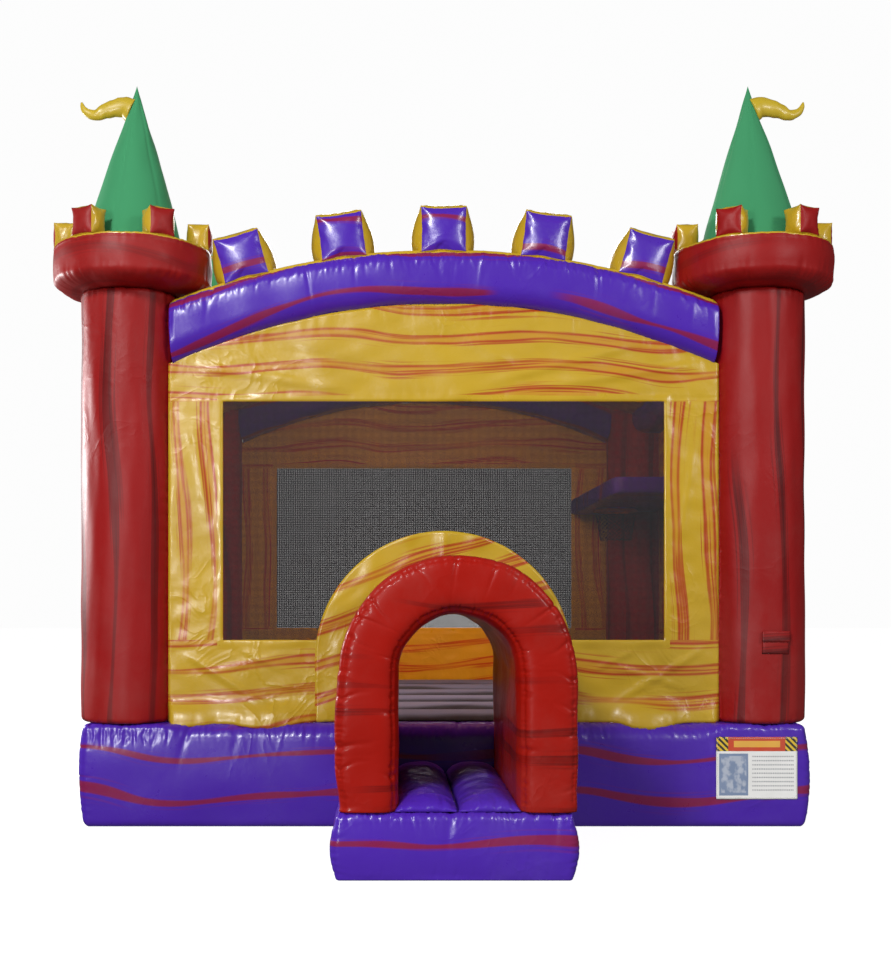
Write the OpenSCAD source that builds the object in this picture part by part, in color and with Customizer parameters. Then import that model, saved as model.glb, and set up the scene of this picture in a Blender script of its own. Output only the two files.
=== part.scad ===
// Inflatable castle bounce house: an air-filled base with a ribbed jumping floor, four corner
// turrets, arched top beams, netting walls, a vaulted roof and a tunnel entry on a step.
// Millimetres. +Z is up, +Y points from the entry to the rear. The origin is on the ground,
// in the middle of the outline.

/* [Base] */
// Width of the base
base_w = 4600; // [4400:10:4800]
// Depth of the base, without the step
base_d = 4250; // [4000:10:4600]
// Height of the base
base_h = 650; // [600:5:700]
// Thickness that each air-tight skin is drawn with
skin = 6; // [4:1:10]
// Number of ribs across the jumping floor
rib_count = 6; // [4:1:8]
// Height of a floor rib's crown
rib_rise = 45; // [30:5:60]

/* [Entry] */
// Width of the entry step
step_w = 1260; // [1200:10:1300]
// Length of the entry step
step_d = 1500; // [1300:10:1600]
// Height of the entry step
step_h = 345; // [300:5:380]
// Height of the two pads on the step
pad_rise = 85; // [60:5:100]
// Outer half width of the tunnel
tunnel_outer = 610; // [590:2:620]
// Inner half width of the tunnel
tunnel_inner = 332; // [320:2:350]
// Height at which the tunnel's arch springs
tunnel_spring = 1050; // [1000:10:1100]
// Outer half width of the flat surround behind the tunnel
surround_r = 825; // [800:5:840]

/* [Turrets] */
// Radius of a corner column
column_r = 310; // [290:5:320]
// Sideways distance from the middle to a column's axis
column_x = 2035; // [2020:5:2050]
// Distance from the base's edge to a column's axis, front and rear
column_inset = 300; // [290:5:320]
// Height of the underside of a turret cap
cap_z = 3400; // [3380:5:3420]
// How far a turret cap stands inwards of its column
cap_shift = 22; // [0:1:30]
// Radius of a turret cap
cap_r = 505; // [490:5:515]
// Height of a turret cap
cap_h = 290; // [270:5:310]
// Radius of a spire at its foot
spire_r = 330; // [320:5:345]
// Height of a spire
spire_h = 1090; // [1000:10:1150]
// Lean of a spire towards the middle, in degrees
spire_lean = 1.2; // [0:0.1:3]
// Number of merlons on a turret
turret_merlon_count = 6; // [5:1:6]

/* [Beams and roof] */
// Radius of the arched beams' centre line
arch_r = 4620; // [4500:10:4700]
// Height of the arched beams' centre line at the middle
arch_z = 3490; // [3480:5:3500]
// Depth of a beam's section
beam_d = 360; // [340:5:370]
// Height of a beam's section
beam_h = 340; // [330:5:345]
// Angle between the merlons on an arched beam, in degrees
merlon_pitch = 7.6; // [7.5:0.05:7.7]
// Width of a merlon
merlon_w = 290; // [270:5:300]
// Height of a merlon
merlon_h = 300; // [280:5:310]

/* [Walls] */
// Half width of the front and rear windows
window_half = 1410; // [1350:10:1430]
// Half width of the side windows
side_window_half = 1180; // [1100:10:1200]
// Height of the windows' lower edge
window_z0 = 1175; // [1150:5:1200]
// Height of the windows' upper edge
window_z1 = 2700; // [2650:5:2720]
// Distance from the base's edge to a wall panel
wall_inset = 150; // [140:5:160]

/* [Rear fittings] */
// Inner radius of the air inlet sleeve
inlet_r = 120; // [100:5:140]
// Length of the air inlet sleeve
inlet_l = 190; // [150:5:195]
// Length of the deflation zip
zip_l = 620; // [500:10:700]
// Inner width of an anchor ring
ring_w = 50; // [46:1:54]
// Wire radius of an anchor ring
ring_wire = 4; // [3:0.5:4]

/* [Hidden] */

purple = "#4b2bb5";
red = "#b3161b";
yellow = "#e0b426";
green = "#2f8a57";
black = "#222222";
gap = 1;
cap_overhang = cap_r - column_inset;
front_y = -(step_d + base_d + cap_overhang) / 2;
base_y0 = front_y + step_d;
base_y1 = base_y0 + base_d;
column_y0 = base_y0 + column_inset;
column_y1 = base_y1 - column_inset;
middle_y = (column_y0 + column_y1) / 2;
wall_y0 = base_y0 + wall_inset;
wall_y1 = base_y1 - wall_inset;
wall_x = base_w / 2 - wall_inset;
wall_t = 8;
net_t = 4;
beam_out = 50;
beam_y0 = column_y0 - beam_out;
beam_y1 = column_y1 + beam_out;
beam_x = column_x + beam_out;
arch_centre_z = arch_z - arch_r;
arch_under_r = arch_r - beam_h / 2;
arch_top_r = arch_r + beam_h / 2;
side_beam_z = 3150;
cap_top = cap_z + cap_h;
cap_x = column_x - cap_shift;
panel_half = 1760;
side_panel_half = (column_y1 - column_y0) / 2 - 290;
floor_half = 1705;
floor_y0 = wall_y0 + 30;
floor_y1 = wall_y1 - 30;
rib_pitch = (floor_y1 - floor_y0) / rib_count;
roof_r = arch_r + 60;
roof_half = beam_x - beam_d / 2 - 8 * gap;
hoop_x = 1700;
hoop_y = 1900;
hoop_r = 185;
shelf_x = 1400;
shelf_y = 300;
shelf_z = 2250;
shelf_h = 150;
zip_x0 = -1500;
zip_z = 300;
inlet_x = 1250;
inlet_z = 260;
ring_z = 130;
ring_axis_out = 14;
side_ring_y = [column_y0 + 600, column_y1 - 500];
rear_ring_x = 2050;

// A rounded rectangle's outline, with its own radius at the top and at the bottom corners.
function corner(x, y, r, a0, n = 8) =
    [for (i = [0 : n]) [x + r * cos(a0 + 90 * i / n), y + r * sin(a0 + 90 * i / n)]];
function rounded(w, h, top_r, bottom_r) = concat(
    corner(w / 2 - top_r, h / 2 - top_r, top_r, 0),
    corner(-w / 2 + top_r, h / 2 - top_r, top_r, 90),
    corner(-w / 2 + bottom_r, -h / 2 + bottom_r, bottom_r, 180),
    corner(w / 2 - bottom_r, -h / 2 + bottom_r, bottom_r, 270));

// A puffed block: upright corners and the upper and lower edges are rounded.
module puffed_block(w, d, h, corner_r, edge_r) {
    intersection() {
        linear_extrude(h) polygon(rounded(w, d, corner_r, corner_r));
        translate([0, d / 2, h / 2]) rotate([90, 0, 0])
            linear_extrude(d) polygon(rounded(w, h, edge_r, edge_r));
        translate([-w / 2, 0, h / 2]) rotate([90, 0, 90])
            linear_extrude(w) polygon(rounded(d, h, edge_r, edge_r));
    }
}

module base_skin() {
    color(purple) difference() {
        translate([0, base_y0 + base_d / 2, 0]) puffed_block(base_w, base_d, base_h, 90, 70);
        translate([0, base_y0 + base_d / 2, skin])
            puffed_block(base_w - 2 * skin, base_d - 2 * skin, base_h - 2 * skin, 86, 66);
        // The ribbed floor closes this opening.
        translate([-floor_half + 10, floor_y0 + 10, base_h - 3 * skin])
            cube([2 * floor_half - 20, floor_y1 - floor_y0 - 20, 4 * skin]);
        // Air ports into the columns and from the inlet sleeve.
        for (x = [-column_x, column_x], y = [column_y0, column_y1])
            translate([x, y, base_h - 3 * skin]) cylinder(h = 4 * skin, r = 90, $fn = 48);
        translate([inlet_x, base_y1 + skin, inlet_z])
            rotate([90, 0, 0]) cylinder(h = 4 * skin, r = inlet_r, $fn = 64);
    }
}

// Upright webs that tie the floor's valleys to the underside and keep the floor flat.
module base_baffles() {
    color("gainsboro")
        for (i = [1 : rib_count - 1])
            difference() {
                translate([-floor_half + 60, floor_y0 + i * rib_pitch - skin / 2, 2 * skin])
                    cube([2 * floor_half - 120, skin, base_h - 4 * skin]);
                for (k = [-2 : 2])
                    translate([k * 620, floor_y0 + i * rib_pitch + skin, base_h / 2])
                        rotate([90, 0, 0]) cylinder(h = 2 * skin, r = 110, $fn = 48);
            }
}

module floor_rib() {
    chord = rib_pitch - gap;
    r = (pow(chord / 2, 2) + pow(rib_rise, 2)) / (2 * rib_rise);
    rotate([90, 0, 90]) translate([0, 0, -floor_half]) linear_extrude(2 * floor_half)
        intersection() {
            difference() {
                translate([0, rib_rise - r]) circle(r, $fn = 256);
                translate([0, rib_rise - r]) circle(r - skin, $fn = 256);
            }
            translate([-chord / 2, 0]) square([chord, rib_rise + 1]);
        }
}

module jump_floor() {
    color(purple)
        for (i = [0 : rib_count - 1])
            translate([0, floor_y0 + (i + 0.5) * rib_pitch, base_h + gap]) floor_rib();
}

module step_skin() {
    y = front_y + (step_d - 2) / 2;
    color(purple) difference() {
        translate([0, y, 0]) puffed_block(step_w, step_d - 2, step_h, 60, 40);
        translate([0, y, skin])
            puffed_block(step_w - 2 * skin, step_d - 2 - 2 * skin, step_h - 2 * skin, 56, 36);
    }
}

// The two long pads on the step, between the tunnel's legs.
module step_pads() {
    y0 = front_y + 40;
    y1 = base_y0 - 12;
    chord = tunnel_inner - 6;
    r = (pow(chord / 2, 2) + pow(pad_rise, 2)) / (2 * pad_rise);
    color(purple)
        for (s = [-1, 1])
            translate([s * (chord / 2 + 1), y1, step_h + gap]) rotate([90, 0, 0])
                linear_extrude(y1 - y0) intersection() {
                    difference() {
                        translate([0, pad_rise - r]) circle(r, $fn = 256);
                        translate([0, pad_rise - r]) circle(r - skin, $fn = 256);
                    }
                    translate([-chord / 2, 0]) square([chord, pad_rise + 1]);
                }
}

// The web below the seam that splits the step's top into two pads.
module step_baffle() {
    color("gainsboro")
        difference() {
            translate([-skin / 2, front_y + 60, 2 * skin])
                cube([skin, step_d - 120, step_h - 4 * skin]);
            for (k = [-1 : 1])
                translate([-skin, front_y + step_d / 2 + k * 380, step_h / 2])
                    rotate([0, 90, 0]) cylinder(h = 2 * skin, r = 70, $fn = 48);
        }
}

// The tunnel's end view: a wide arch less a narrow one, standing on the height z0.
module tunnel_outline(outer, inner, z0) {
    difference() {
        union() {
            translate([0, tunnel_spring]) circle(outer, $fn = 128);
            translate([-outer, z0]) square([2 * outer, tunnel_spring - z0]);
        }
        union() {
            translate([0, tunnel_spring]) circle(inner, $fn = 128);
            translate([-inner, z0 - 1]) square([2 * inner, tunnel_spring - z0 + 1]);
        }
        translate([-outer - 1, z0 - 2 * outer]) square([2 * outer + 2, 2 * outer]);
    }
}

module tunnel_length(y0, y1, outer, inner, z0) {
    translate([0, y1, 0]) rotate([90, 0, 0])
        linear_extrude(y1 - y0) tunnel_outline(outer, inner, z0);
}

module entry_arch() {
    y0 = front_y + 5;
    y1 = wall_y0 - 16;
    color(red) difference() {
        union() {
            tunnel_length(y0, base_y0 - 2, tunnel_outer, tunnel_inner, step_h + gap);
            tunnel_length(base_y0 - 3, y1, tunnel_outer, tunnel_inner, base_h + gap);
        }
        tunnel_length(y0 + skin, base_y0 - 2 - skin,
            tunnel_outer - skin, tunnel_inner + skin, step_h + gap + skin);
        tunnel_length(base_y0 - 4 - skin, y1 - skin,
            tunnel_outer - skin, tunnel_inner + skin, base_h + gap + skin);
    }
}

module door_surround() {
    color(yellow)
        tunnel_length(wall_y0 - 14, wall_y0 - 6, surround_r, tunnel_inner + 2, base_h + gap);
}

module column(x, y) {
    color(red) translate([x, y, base_h + gap]) difference() {
        cylinder(h = cap_z - base_h - 2 * gap, r = column_r, $fn = 96);
        translate([0, 0, skin])
            cylinder(h = cap_z - base_h - 2 * gap - 2 * skin, r = column_r - skin, $fn = 96);
        translate([0, 0, -1]) cylinder(h = 2 * skin, r = 90, $fn = 48);
    }
}

// Half of a cap's section: a bellied underside, an upright side and a rounded rim.
function cap_outline(inset) =
    let (r = cap_r - inset, z0 = cap_z + inset, z1 = cap_top - inset, belly = 105 - inset, rim = 34 - inset)
    concat([[0, z0], [column_r - inset, z0]],
        [for (i = [1 : 8]) [column_r - inset + (r - column_r + inset) * sin(90 * i / 8),
                            z0 + belly * (1 - cos(90 * i / 8))]],
        [for (i = [0 : 6]) [r - rim + rim * cos(90 * i / 6), z1 - rim + rim * sin(90 * i / 6)]],
        [[0, z1]]);

module cap(x, y) {
    color(red) translate([x, y, 0]) difference() {
        rotate_extrude($fn = 96) polygon(cap_outline(0));
        rotate_extrude($fn = 96) polygon(cap_outline(skin));
    }
}

// side is -1 for a left turret and 1 for a right one, so that the pairs mirror each other.
module cap_merlons(x, y, side) {
    w = 150;
    d = 128;
    h = 170;
    color(red)
        for (i = [0 : turret_merlon_count - 1])
            translate([x, y, cap_top + gap])
                rotate([0, 0, -side * (62 + 360 / turret_merlon_count * i)])
                    translate([cap_r - 12 - d, -w / 2, 0])
                        difference() {
                            cube([d, w, h]);
                            translate([skin, skin, skin]) cube([d - 2 * skin, w - 2 * skin, h - 2 * skin]);
                        }
}

module leaning_cone(x, y, side, grow) {
    difference() {
        translate([x, y, cap_top]) rotate([0, -side * spire_lean, 0])
            translate([0, 0, -40]) cylinder(h = spire_h + 40 + grow,
                r1 = spire_r + grow + 40 * spire_r / spire_h, r2 = 4, $fn = 96);
        translate([x - cap_r, y - cap_r, cap_top - 400]) cube([2 * cap_r, 2 * cap_r, 400 + gap - grow / 2]);
    }
}

module spire(x, y, side) {
    color(green) difference() {
        leaning_cone(x, y, side, 0);
        leaning_cone(x, y, side, -2 * skin);
    }
}

// A flag is an inflated horn: its centre line and radii run from the spire out to the tip.
flag_z = cap_top + 930;
flag_line = [[30, 0], [90, 22], [191, 2], [258, -28], [314, -17], [346, 13], [359, 53]];
flag_radius = [80, 65, 50, 37, 28, 20, 6];
flag_sides = 12;
function flag_turn(i) = let (last = len(flag_line) - 1,
    a = flag_line[max(i - 1, 0)], b = flag_line[min(i + 1, last)]) atan2(b[1] - a[1], b[0] - a[0]);

module flag_horn() {
    last = len(flag_line) - 1;
    points = [for (i = [0 : last], k = [0 : flag_sides - 1])
        let (t = flag_turn(i), a = 360 * k / flag_sides, r = flag_radius[i])
            [flag_line[i][0] - r * cos(a) * sin(t), 0.7 * r * sin(a), flag_line[i][1] + r * cos(a) * cos(t)]];
    walls = [for (i = [0 : last - 1], k = [0 : flag_sides - 1])
        let (a = i * flag_sides + k, b = i * flag_sides + (k + 1) % flag_sides)
            [a, b, b + flag_sides, a + flag_sides]];
    ends = [[for (k = [flag_sides - 1 : -1 : 0]) k],
            [for (k = [0 : flag_sides - 1]) last * flag_sides + k]];
    polyhedron(points, concat(walls, ends), convexity = 4);
}

module flag(x, y, side) {
    color(yellow) difference() {
        translate([x - side * 20, y, flag_z]) scale_side(side) flag_horn();
        leaning_cone(x, y, side, 2);
    }
}

// Turns a shape drawn towards +X to face the given side.
module scale_side(side) {
    if (side > 0) children();
    else mirror([1, 0, 0]) children();
}

// Clears room for the columns, with flat sides that stand just outside the round ones.
module all_columns_cut(extra) {
    sides = 32;
    r = (column_r + extra) / cos(180 / sides);
    for (x = [-column_x, column_x], y = [column_y0, column_y1])
        translate([x, y, base_h]) linear_extrude(cap_z - base_h)
            polygon([for (i = [0 : sides - 1]) [r * cos(360 * i / sides), r * sin(360 * i / sides)]]);
}

module beam_section() {
    difference() {
        polygon(rounded(beam_d, beam_h, 30, 120));
        polygon(rounded(beam_d - 2 * skin, beam_h - 2 * skin, 26, 116));
    }
}

module arch_beam(y) {
    half = asin(column_x / arch_r);
    color(purple) difference() {
        translate([0, y, arch_centre_z]) rotate([90, 0, 0]) rotate([0, 0, 90 - half])
            rotate_extrude(angle = 2 * half, $fn = 256)
                translate([arch_r, 0]) rotate(-90) beam_section();
        all_columns_cut(gap);
    }
}

module side_beam(side) {
    color(purple) difference() {
        translate([side * beam_x, column_y1, side_beam_z]) rotate([90, 0, 0])
            linear_extrude(column_y1 - column_y0) beam_section();
        all_columns_cut(gap);
    }
}

module arch_merlons(y) {
    d = beam_d - 60;
    color(purple)
        for (i = [-2 : 2])
            difference() {
                translate([0, y, arch_centre_z]) rotate([0, i * merlon_pitch, 0])
                    difference() {
                        translate([-merlon_w / 2, -d / 2, arch_top_r - 10]) cube([merlon_w, d, merlon_h + 10]);
                        translate([-merlon_w / 2 + skin, -d / 2 + skin, arch_top_r + skin])
                            cube([merlon_w - 2 * skin, d - 2 * skin, merlon_h - 2 * skin]);
                    }
                translate([0, y + beam_d, arch_centre_z]) rotate([90, 0, 0])
                    cylinder(h = 2 * beam_d, r = arch_top_r + gap, $fn = 256);
            }
}

// The four strips of a wall panel round its window, as a front view. top_r is the arch that the
// upper strip ends under, and 0 gives a straight top at the height top_z.
module wall_strips(half, window, top_z, top_r, door) {
    seam = gap / 2;
    intersection() {
        translate([-half, window_z1 + seam]) square([2 * half, top_z - window_z1]);
        if (top_r > 0) translate([0, arch_centre_z]) circle(top_r, $fn = 256);
        else translate([-half, 0]) square([2 * half, top_z]);
    }
    for (s = [-1, 1])
        translate([s * (half + window) / 2 - (half - window) / 2, window_z0 + seam])
            square([half - window, window_z1 - window_z0 - 2 * seam]);
    for (s = door > 0 ? [-1, 1] : [0])
        translate([s > 0 ? door : -half, base_h + gap])
            square([s == 0 ? 2 * half : half - door, window_z0 - base_h - gap - seam]);
}

module upright(y, t) {
    translate([0, y + t / 2, 0]) rotate([90, 0, 0]) linear_extrude(t) children();
}

module end_wall(y, door) {
    color(yellow) upright(y, wall_t)
        wall_strips(panel_half, window_half, arch_z, arch_under_r - gap, door);
}

module side_wall(side) {
    color(yellow) translate([side * wall_x, middle_y, 0]) rotate([0, 0, 90])
        upright(0, wall_t) wall_strips(side_panel_half, side_window_half,
            side_beam_z - beam_h / 2 - gap, 0, 0);
}

module net_outline(half) {
    translate([-half + gap, window_z0 + gap])
        square([2 * half - 2 * gap, window_z1 - window_z0 - 2 * gap]);
}

module net_front() {
    color(black) upright(wall_y0, net_t) difference() {
        net_outline(window_half);
        translate([0, tunnel_spring]) circle(tunnel_inner + 2, $fn = 128);
    }
}

module net_side(side) {
    color(black) translate([side * wall_x, middle_y, 0]) rotate([0, 0, 90])
        upright(0, net_t) net_outline(side_window_half);
}

module roof() {
    half = asin(roof_half / roof_r);
    y0 = beam_y0 + beam_d / 2 + gap;
    y1 = beam_y1 - beam_d / 2 - gap;
    color(yellow) difference() {
        translate([0, y1, arch_centre_z]) rotate([90, 0, 0]) rotate([0, 0, 90 - half])
            rotate_extrude(angle = 2 * half, $fn = 256)
                translate([roof_r, 0]) square([wall_t, y1 - y0]);
        all_columns_cut(gap);
    }
}

// A padded shelf along the rear part of the right wall, with a round hole for the ball hoop.
module hoop_shelf() {
    x1 = wall_x - 20;
    y1 = wall_y1 - 20;
    color(purple) difference() {
        translate([shelf_x, shelf_y, shelf_z]) cube([x1 - shelf_x, y1 - shelf_y, shelf_h]);
        difference() {
            translate([shelf_x + skin, shelf_y + skin, shelf_z + skin])
                cube([x1 - shelf_x - 2 * skin, y1 - shelf_y - 2 * skin, shelf_h - 2 * skin]);
            translate([hoop_x, hoop_y, shelf_z]) cylinder(h = shelf_h, r = hoop_r + skin, $fn = 96);
        }
        translate([hoop_x, hoop_y, shelf_z - 1]) cylinder(h = shelf_h + 2, r = hoop_r, $fn = 96);
        all_columns_cut(gap);
    }
}

module hoop_rim() {
    color("orangered") translate([hoop_x, hoop_y, shelf_z - 13])
        rotate_extrude($fn = 96) translate([hoop_r, 0]) circle(12, $fn = 24);
}

module hoop_net() {
    top = shelf_z - 26;
    color(black) translate([hoop_x, hoop_y, 0]) rotate_extrude($fn = 96)
        polygon([[hoop_r - 2, top], [hoop_r + 2, top], [139, top - 250], [135, top - 250]]);
}

module rules_panel() {
    color("white") translate([1703, base_y0 - 4, 182]) cube([508, 3, 389]);
}

// The pouch follows the front of the right-hand column, and its flap hangs from the top edge.
pouch_z0 = 1090;
pouch_h = 140;
pouch_angle = 32;
module column_band(z, h, r0, r1, angle) {
    translate([column_x, column_y0, z]) rotate([0, 0, -82 - angle / 2])
        rotate_extrude(angle = angle, $fn = 128) translate([r0, 0]) square([r1 - r0, h]);
}

module pouch() {
    color(red) difference() {
        column_band(pouch_z0, pouch_h, column_r + gap, column_r + 13, pouch_angle);
        column_band(pouch_z0 + 4, pouch_h - 3, column_r + 4, column_r + 10, pouch_angle - 2);
    }
}

module pouch_flap() {
    color(red) column_band(pouch_z0 + 80, pouch_h - 76, column_r + 14, column_r + 17, pouch_angle + 1);
}

module inlet_sleeve() {
    color(red) translate([inlet_x, base_y1 + gap + inlet_l, inlet_z]) rotate([90, 0, 0]) difference() {
        cylinder(h = inlet_l, r = inlet_r + 4, $fn = 96);
        translate([0, 0, -1]) cylinder(h = inlet_l + 2, r = inlet_r, $fn = 96);
    }
}

module inlet_strap() {
    color(black) translate([inlet_x, base_y1 + 135, inlet_z]) {
        rotate([90, 0, 0]) difference() {
            cylinder(h = 40, r = inlet_r + 8, $fn = 96);
            translate([0, 0, -1]) cylinder(h = 42, r = inlet_r + 5, $fn = 96);
        }
        translate([-30, -44, inlet_r + 8]) cube([60, 48, 10]);
    }
}

module zip_tape() {
    color(black) translate([zip_x0, base_y1 + gap, zip_z - 25]) cube([zip_l, 3, 50]);
}

module zip_slider() {
    color("silver") translate([zip_x0 + 20, base_y1 + 5, zip_z - 12]) {
        cube([36, 8, 24]);
        translate([10, 2, -34]) cube([16, 4, 36]);
    }
}

// The flap hangs in front of the zip and lifts about its upper edge.
module zip_flap() {
    color(purple) translate([zip_x0 - 30, base_y1 + 18, zip_z - 75]) cube([zip_l + 60, 4, 150]);
}

// Each anchor is a sewn patch and a webbing strap that is looped round the ring's bar.
module anchor_tab() {
    strap_w = ring_w - 8;
    color(black) translate([-110, gap, ring_z + 30]) cube([220, 3, 150]);
    color(black) difference() {
        union() {
            translate([-strap_w / 2, gap + 4, ring_z]) cube([strap_w, 5, 150]);
            translate([-strap_w / 2, ring_axis_out, ring_z]) rotate([0, 90, 0])
                cylinder(h = strap_w, r = 9, $fn = 48);
        }
        translate([-strap_w / 2 - 1, ring_axis_out, ring_z]) rotate([0, 90, 0])
            cylinder(h = strap_w + 2, r = ring_wire + 1.5, $fn = 48);
    }
}

module anchor_ring() {
    half = ring_w / 2 + ring_wire;
    color("silver") translate([0, ring_axis_out, ring_z]) {
        rotate([0, 90, 0]) translate([0, 0, -half]) cylinder(h = 2 * half, r = ring_wire, $fn = 48);
        for (s = [-1, 1])
            translate([s * half, 0, -14]) cylinder(h = 14, r = ring_wire, $fn = 48);
        translate([0, 0, -14]) rotate([90, 0, 0]) rotate([0, 0, 180])
            rotate_extrude(angle = 180, $fn = 96) translate([half, 0]) circle(ring_wire, $fn = 32);
    }
}

// Places an anchor drawn facing +Y: on the left side, the right side or the rear.
module on_left(y) { translate([-base_w / 2, y, 0]) rotate([0, 0, 90]) children(); }
module on_right(y) { translate([base_w / 2, y, 0]) rotate([0, 0, -90]) children(); }
module on_rear(x) { translate([x, base_y1, 0]) children(); }

module anchor_tabs() {
    for (y = side_ring_y) {
        on_left(y) anchor_tab();
        on_right(y) anchor_tab();
    }
    for (x = [-rear_ring_x, rear_ring_x]) on_rear(x) anchor_tab();
}

base_skin();
base_baffles();
jump_floor();
step_skin();
step_pads();
step_baffle();
entry_arch();
door_surround();
column(-column_x, column_y0);  // column_front_left
column(column_x, column_y0);  // column_front_right
column(-column_x, column_y1);  // column_rear_left
column(column_x, column_y1);  // column_rear_right
cap(-cap_x, column_y0);  // cap_front_left
cap(cap_x, column_y0);  // cap_front_right
cap(-cap_x, column_y1);  // cap_rear_left
cap(cap_x, column_y1);  // cap_rear_right
cap_merlons(-cap_x, column_y0, -1);  // cap_merlons_front_left
cap_merlons(cap_x, column_y0, 1);  // cap_merlons_front_right
cap_merlons(-cap_x, column_y1, -1);  // cap_merlons_rear_left
cap_merlons(cap_x, column_y1, 1);  // cap_merlons_rear_right
spire(-cap_x, column_y0, -1);  // spire_front_left
spire(cap_x, column_y0, 1);  // spire_front_right
spire(-cap_x, column_y1, -1);  // spire_rear_left
spire(cap_x, column_y1, 1);  // spire_rear_right
flag(-cap_x, column_y0, -1);  // flag_front_left
flag(cap_x, column_y0, 1);  // flag_front_right
flag(-cap_x, column_y1, -1);  // flag_rear_left
flag(cap_x, column_y1, 1);  // flag_rear_right
arch_beam(beam_y0);  // arch_beam_front
arch_beam(beam_y1);  // arch_beam_rear
side_beam(-1);  // side_beam_left
side_beam(1);  // side_beam_right
arch_merlons(beam_y0);  // arch_merlons_front
arch_merlons(beam_y1);  // arch_merlons_rear
end_wall(wall_y0, tunnel_inner + 2);  // wall_front
end_wall(wall_y1, 0);  // wall_rear
side_wall(-1);  // wall_left
side_wall(1);  // wall_right
net_front();
color(black) upright(wall_y1, net_t) net_outline(window_half);  // net_rear
net_side(-1);  // net_left
net_side(1);  // net_right
roof();
hoop_shelf();
hoop_rim();
hoop_net();
rules_panel();
pouch();
pouch_flap();
inlet_sleeve();
inlet_strap();
zip_tape();
zip_slider();
zip_flap();
anchor_tabs();
on_left(side_ring_y[0]) anchor_ring();  // anchor_ring_left_front
on_left(side_ring_y[1]) anchor_ring();  // anchor_ring_left_rear
on_right(side_ring_y[0]) anchor_ring();  // anchor_ring_right_front
on_right(side_ring_y[1]) anchor_ring();  // anchor_ring_right_rear
on_rear(-rear_ring_x) anchor_ring();  // anchor_ring_rear_left
on_rear(rear_ring_x) anchor_ring();  // anchor_ring_rear_right
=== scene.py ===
"""An inflatable castle bounce house: sewn, air-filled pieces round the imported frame."""

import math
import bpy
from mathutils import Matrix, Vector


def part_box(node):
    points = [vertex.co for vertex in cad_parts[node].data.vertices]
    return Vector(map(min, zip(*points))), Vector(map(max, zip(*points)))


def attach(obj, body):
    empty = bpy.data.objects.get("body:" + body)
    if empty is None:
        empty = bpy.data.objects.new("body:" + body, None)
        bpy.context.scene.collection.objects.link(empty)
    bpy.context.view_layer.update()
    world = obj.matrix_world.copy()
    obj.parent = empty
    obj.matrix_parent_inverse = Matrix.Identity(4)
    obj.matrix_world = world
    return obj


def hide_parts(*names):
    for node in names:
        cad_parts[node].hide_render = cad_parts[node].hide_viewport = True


bl_info = {
    "name": "Castle Bounce House",
    "version": (1, 0, 0),
    "blender": (4, 5, 0),
    "location": "View3D > Sidebar > Bounce House",
    "description": "Makes the sewn pieces, netting, fittings and stage of a castle bounce house",
    "category": "Add Mesh",
}

import bmesh
import bpy
import numpy as np
from bpy.props import FloatProperty, FloatVectorProperty, PointerProperty
from mathutils import Matrix, Vector

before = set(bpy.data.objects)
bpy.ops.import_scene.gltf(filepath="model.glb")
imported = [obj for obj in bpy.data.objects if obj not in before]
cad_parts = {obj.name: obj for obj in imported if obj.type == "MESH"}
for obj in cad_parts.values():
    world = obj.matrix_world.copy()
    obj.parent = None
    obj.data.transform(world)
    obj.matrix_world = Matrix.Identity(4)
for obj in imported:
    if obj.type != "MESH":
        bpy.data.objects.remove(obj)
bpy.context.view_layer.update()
SEED = 1871
HOUSE = "house"


# ---------------------------------------------------------------- sizes taken from the frame

def limits(node):
    """The lowest and highest corners of a CAD node, in metres."""
    low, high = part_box(node)
    return np.array(low), np.array(high)


def middle(node):
    """The centre of a CAD node's box."""
    low, high = limits(node)
    return (low + high) / 2


BASE_LOW, BASE_HIGH = limits("base_skin")
STEP_LOW, STEP_HIGH = limits("step_skin")
TUNNEL_LOW, TUNNEL_HIGH = limits("entry_arch")
BASE_H = float(BASE_HIGH[2])
WALL_Y0 = float(middle("wall_front")[1])
WALL_Y1 = float(middle("wall_rear")[1])
WALL_X = float(middle("wall_right")[0])
TUNNEL_OUTER = float(TUNNEL_HIGH[0])
TUNNEL_SPRING = float(TUNNEL_HIGH[2]) - TUNNEL_OUTER
TUBE_WIDTH = 0.278
TUNNEL_INNER = TUNNEL_OUTER - TUBE_WIDTH
COLUMNS = {
    name: middle(f"column_{name}")[:2]
    for name in ("front_left", "front_right", "rear_left", "rear_right")
}
TURRETS = {name: middle(f"cap_{name}")[:2] for name in COLUMNS}
COLUMN_R = float(limits("column_front_left")[1][0] - COLUMNS["front_left"][0])
CAP_LOW, CAP_HIGH = limits("cap_front_left")
CAP_R = float(CAP_HIGH[0] - CAP_LOW[0]) / 2
BEAM_LOW, BEAM_HIGH = limits("arch_beam_front")
ARCH_R = 4.62
BEAM_H = 0.34
ARCH_Z = float(BEAM_HIGH[2]) - 0.17 - ARCH_R
BEAM_D = float(BEAM_HIGH[1] - BEAM_LOW[1])
WINDOW_SILL, WINDOW_HEAD = 1.175, 2.70
WINDOW_HALF, SIDE_WINDOW_HALF = 1.41, 1.18
WALL_HALF = 1.76
DOOR_HALF = 0.344
BINDING = 0.044
NET_BOTTOM, NET_TOP, NET_TALL = 1.176, 2.699, 1.523
NET_HALF, SIDE_NET_HALF = 1.409, 1.179
SIDE_Y = 0.6475
TURRET_MERLON_TURN, ARCH_MERLON_PITCH = 62, 7.6
SLEEVE_R = 0.1225
TOOTH_PITCH = 0.005


# ---------------------------------------------------------------- settings

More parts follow.
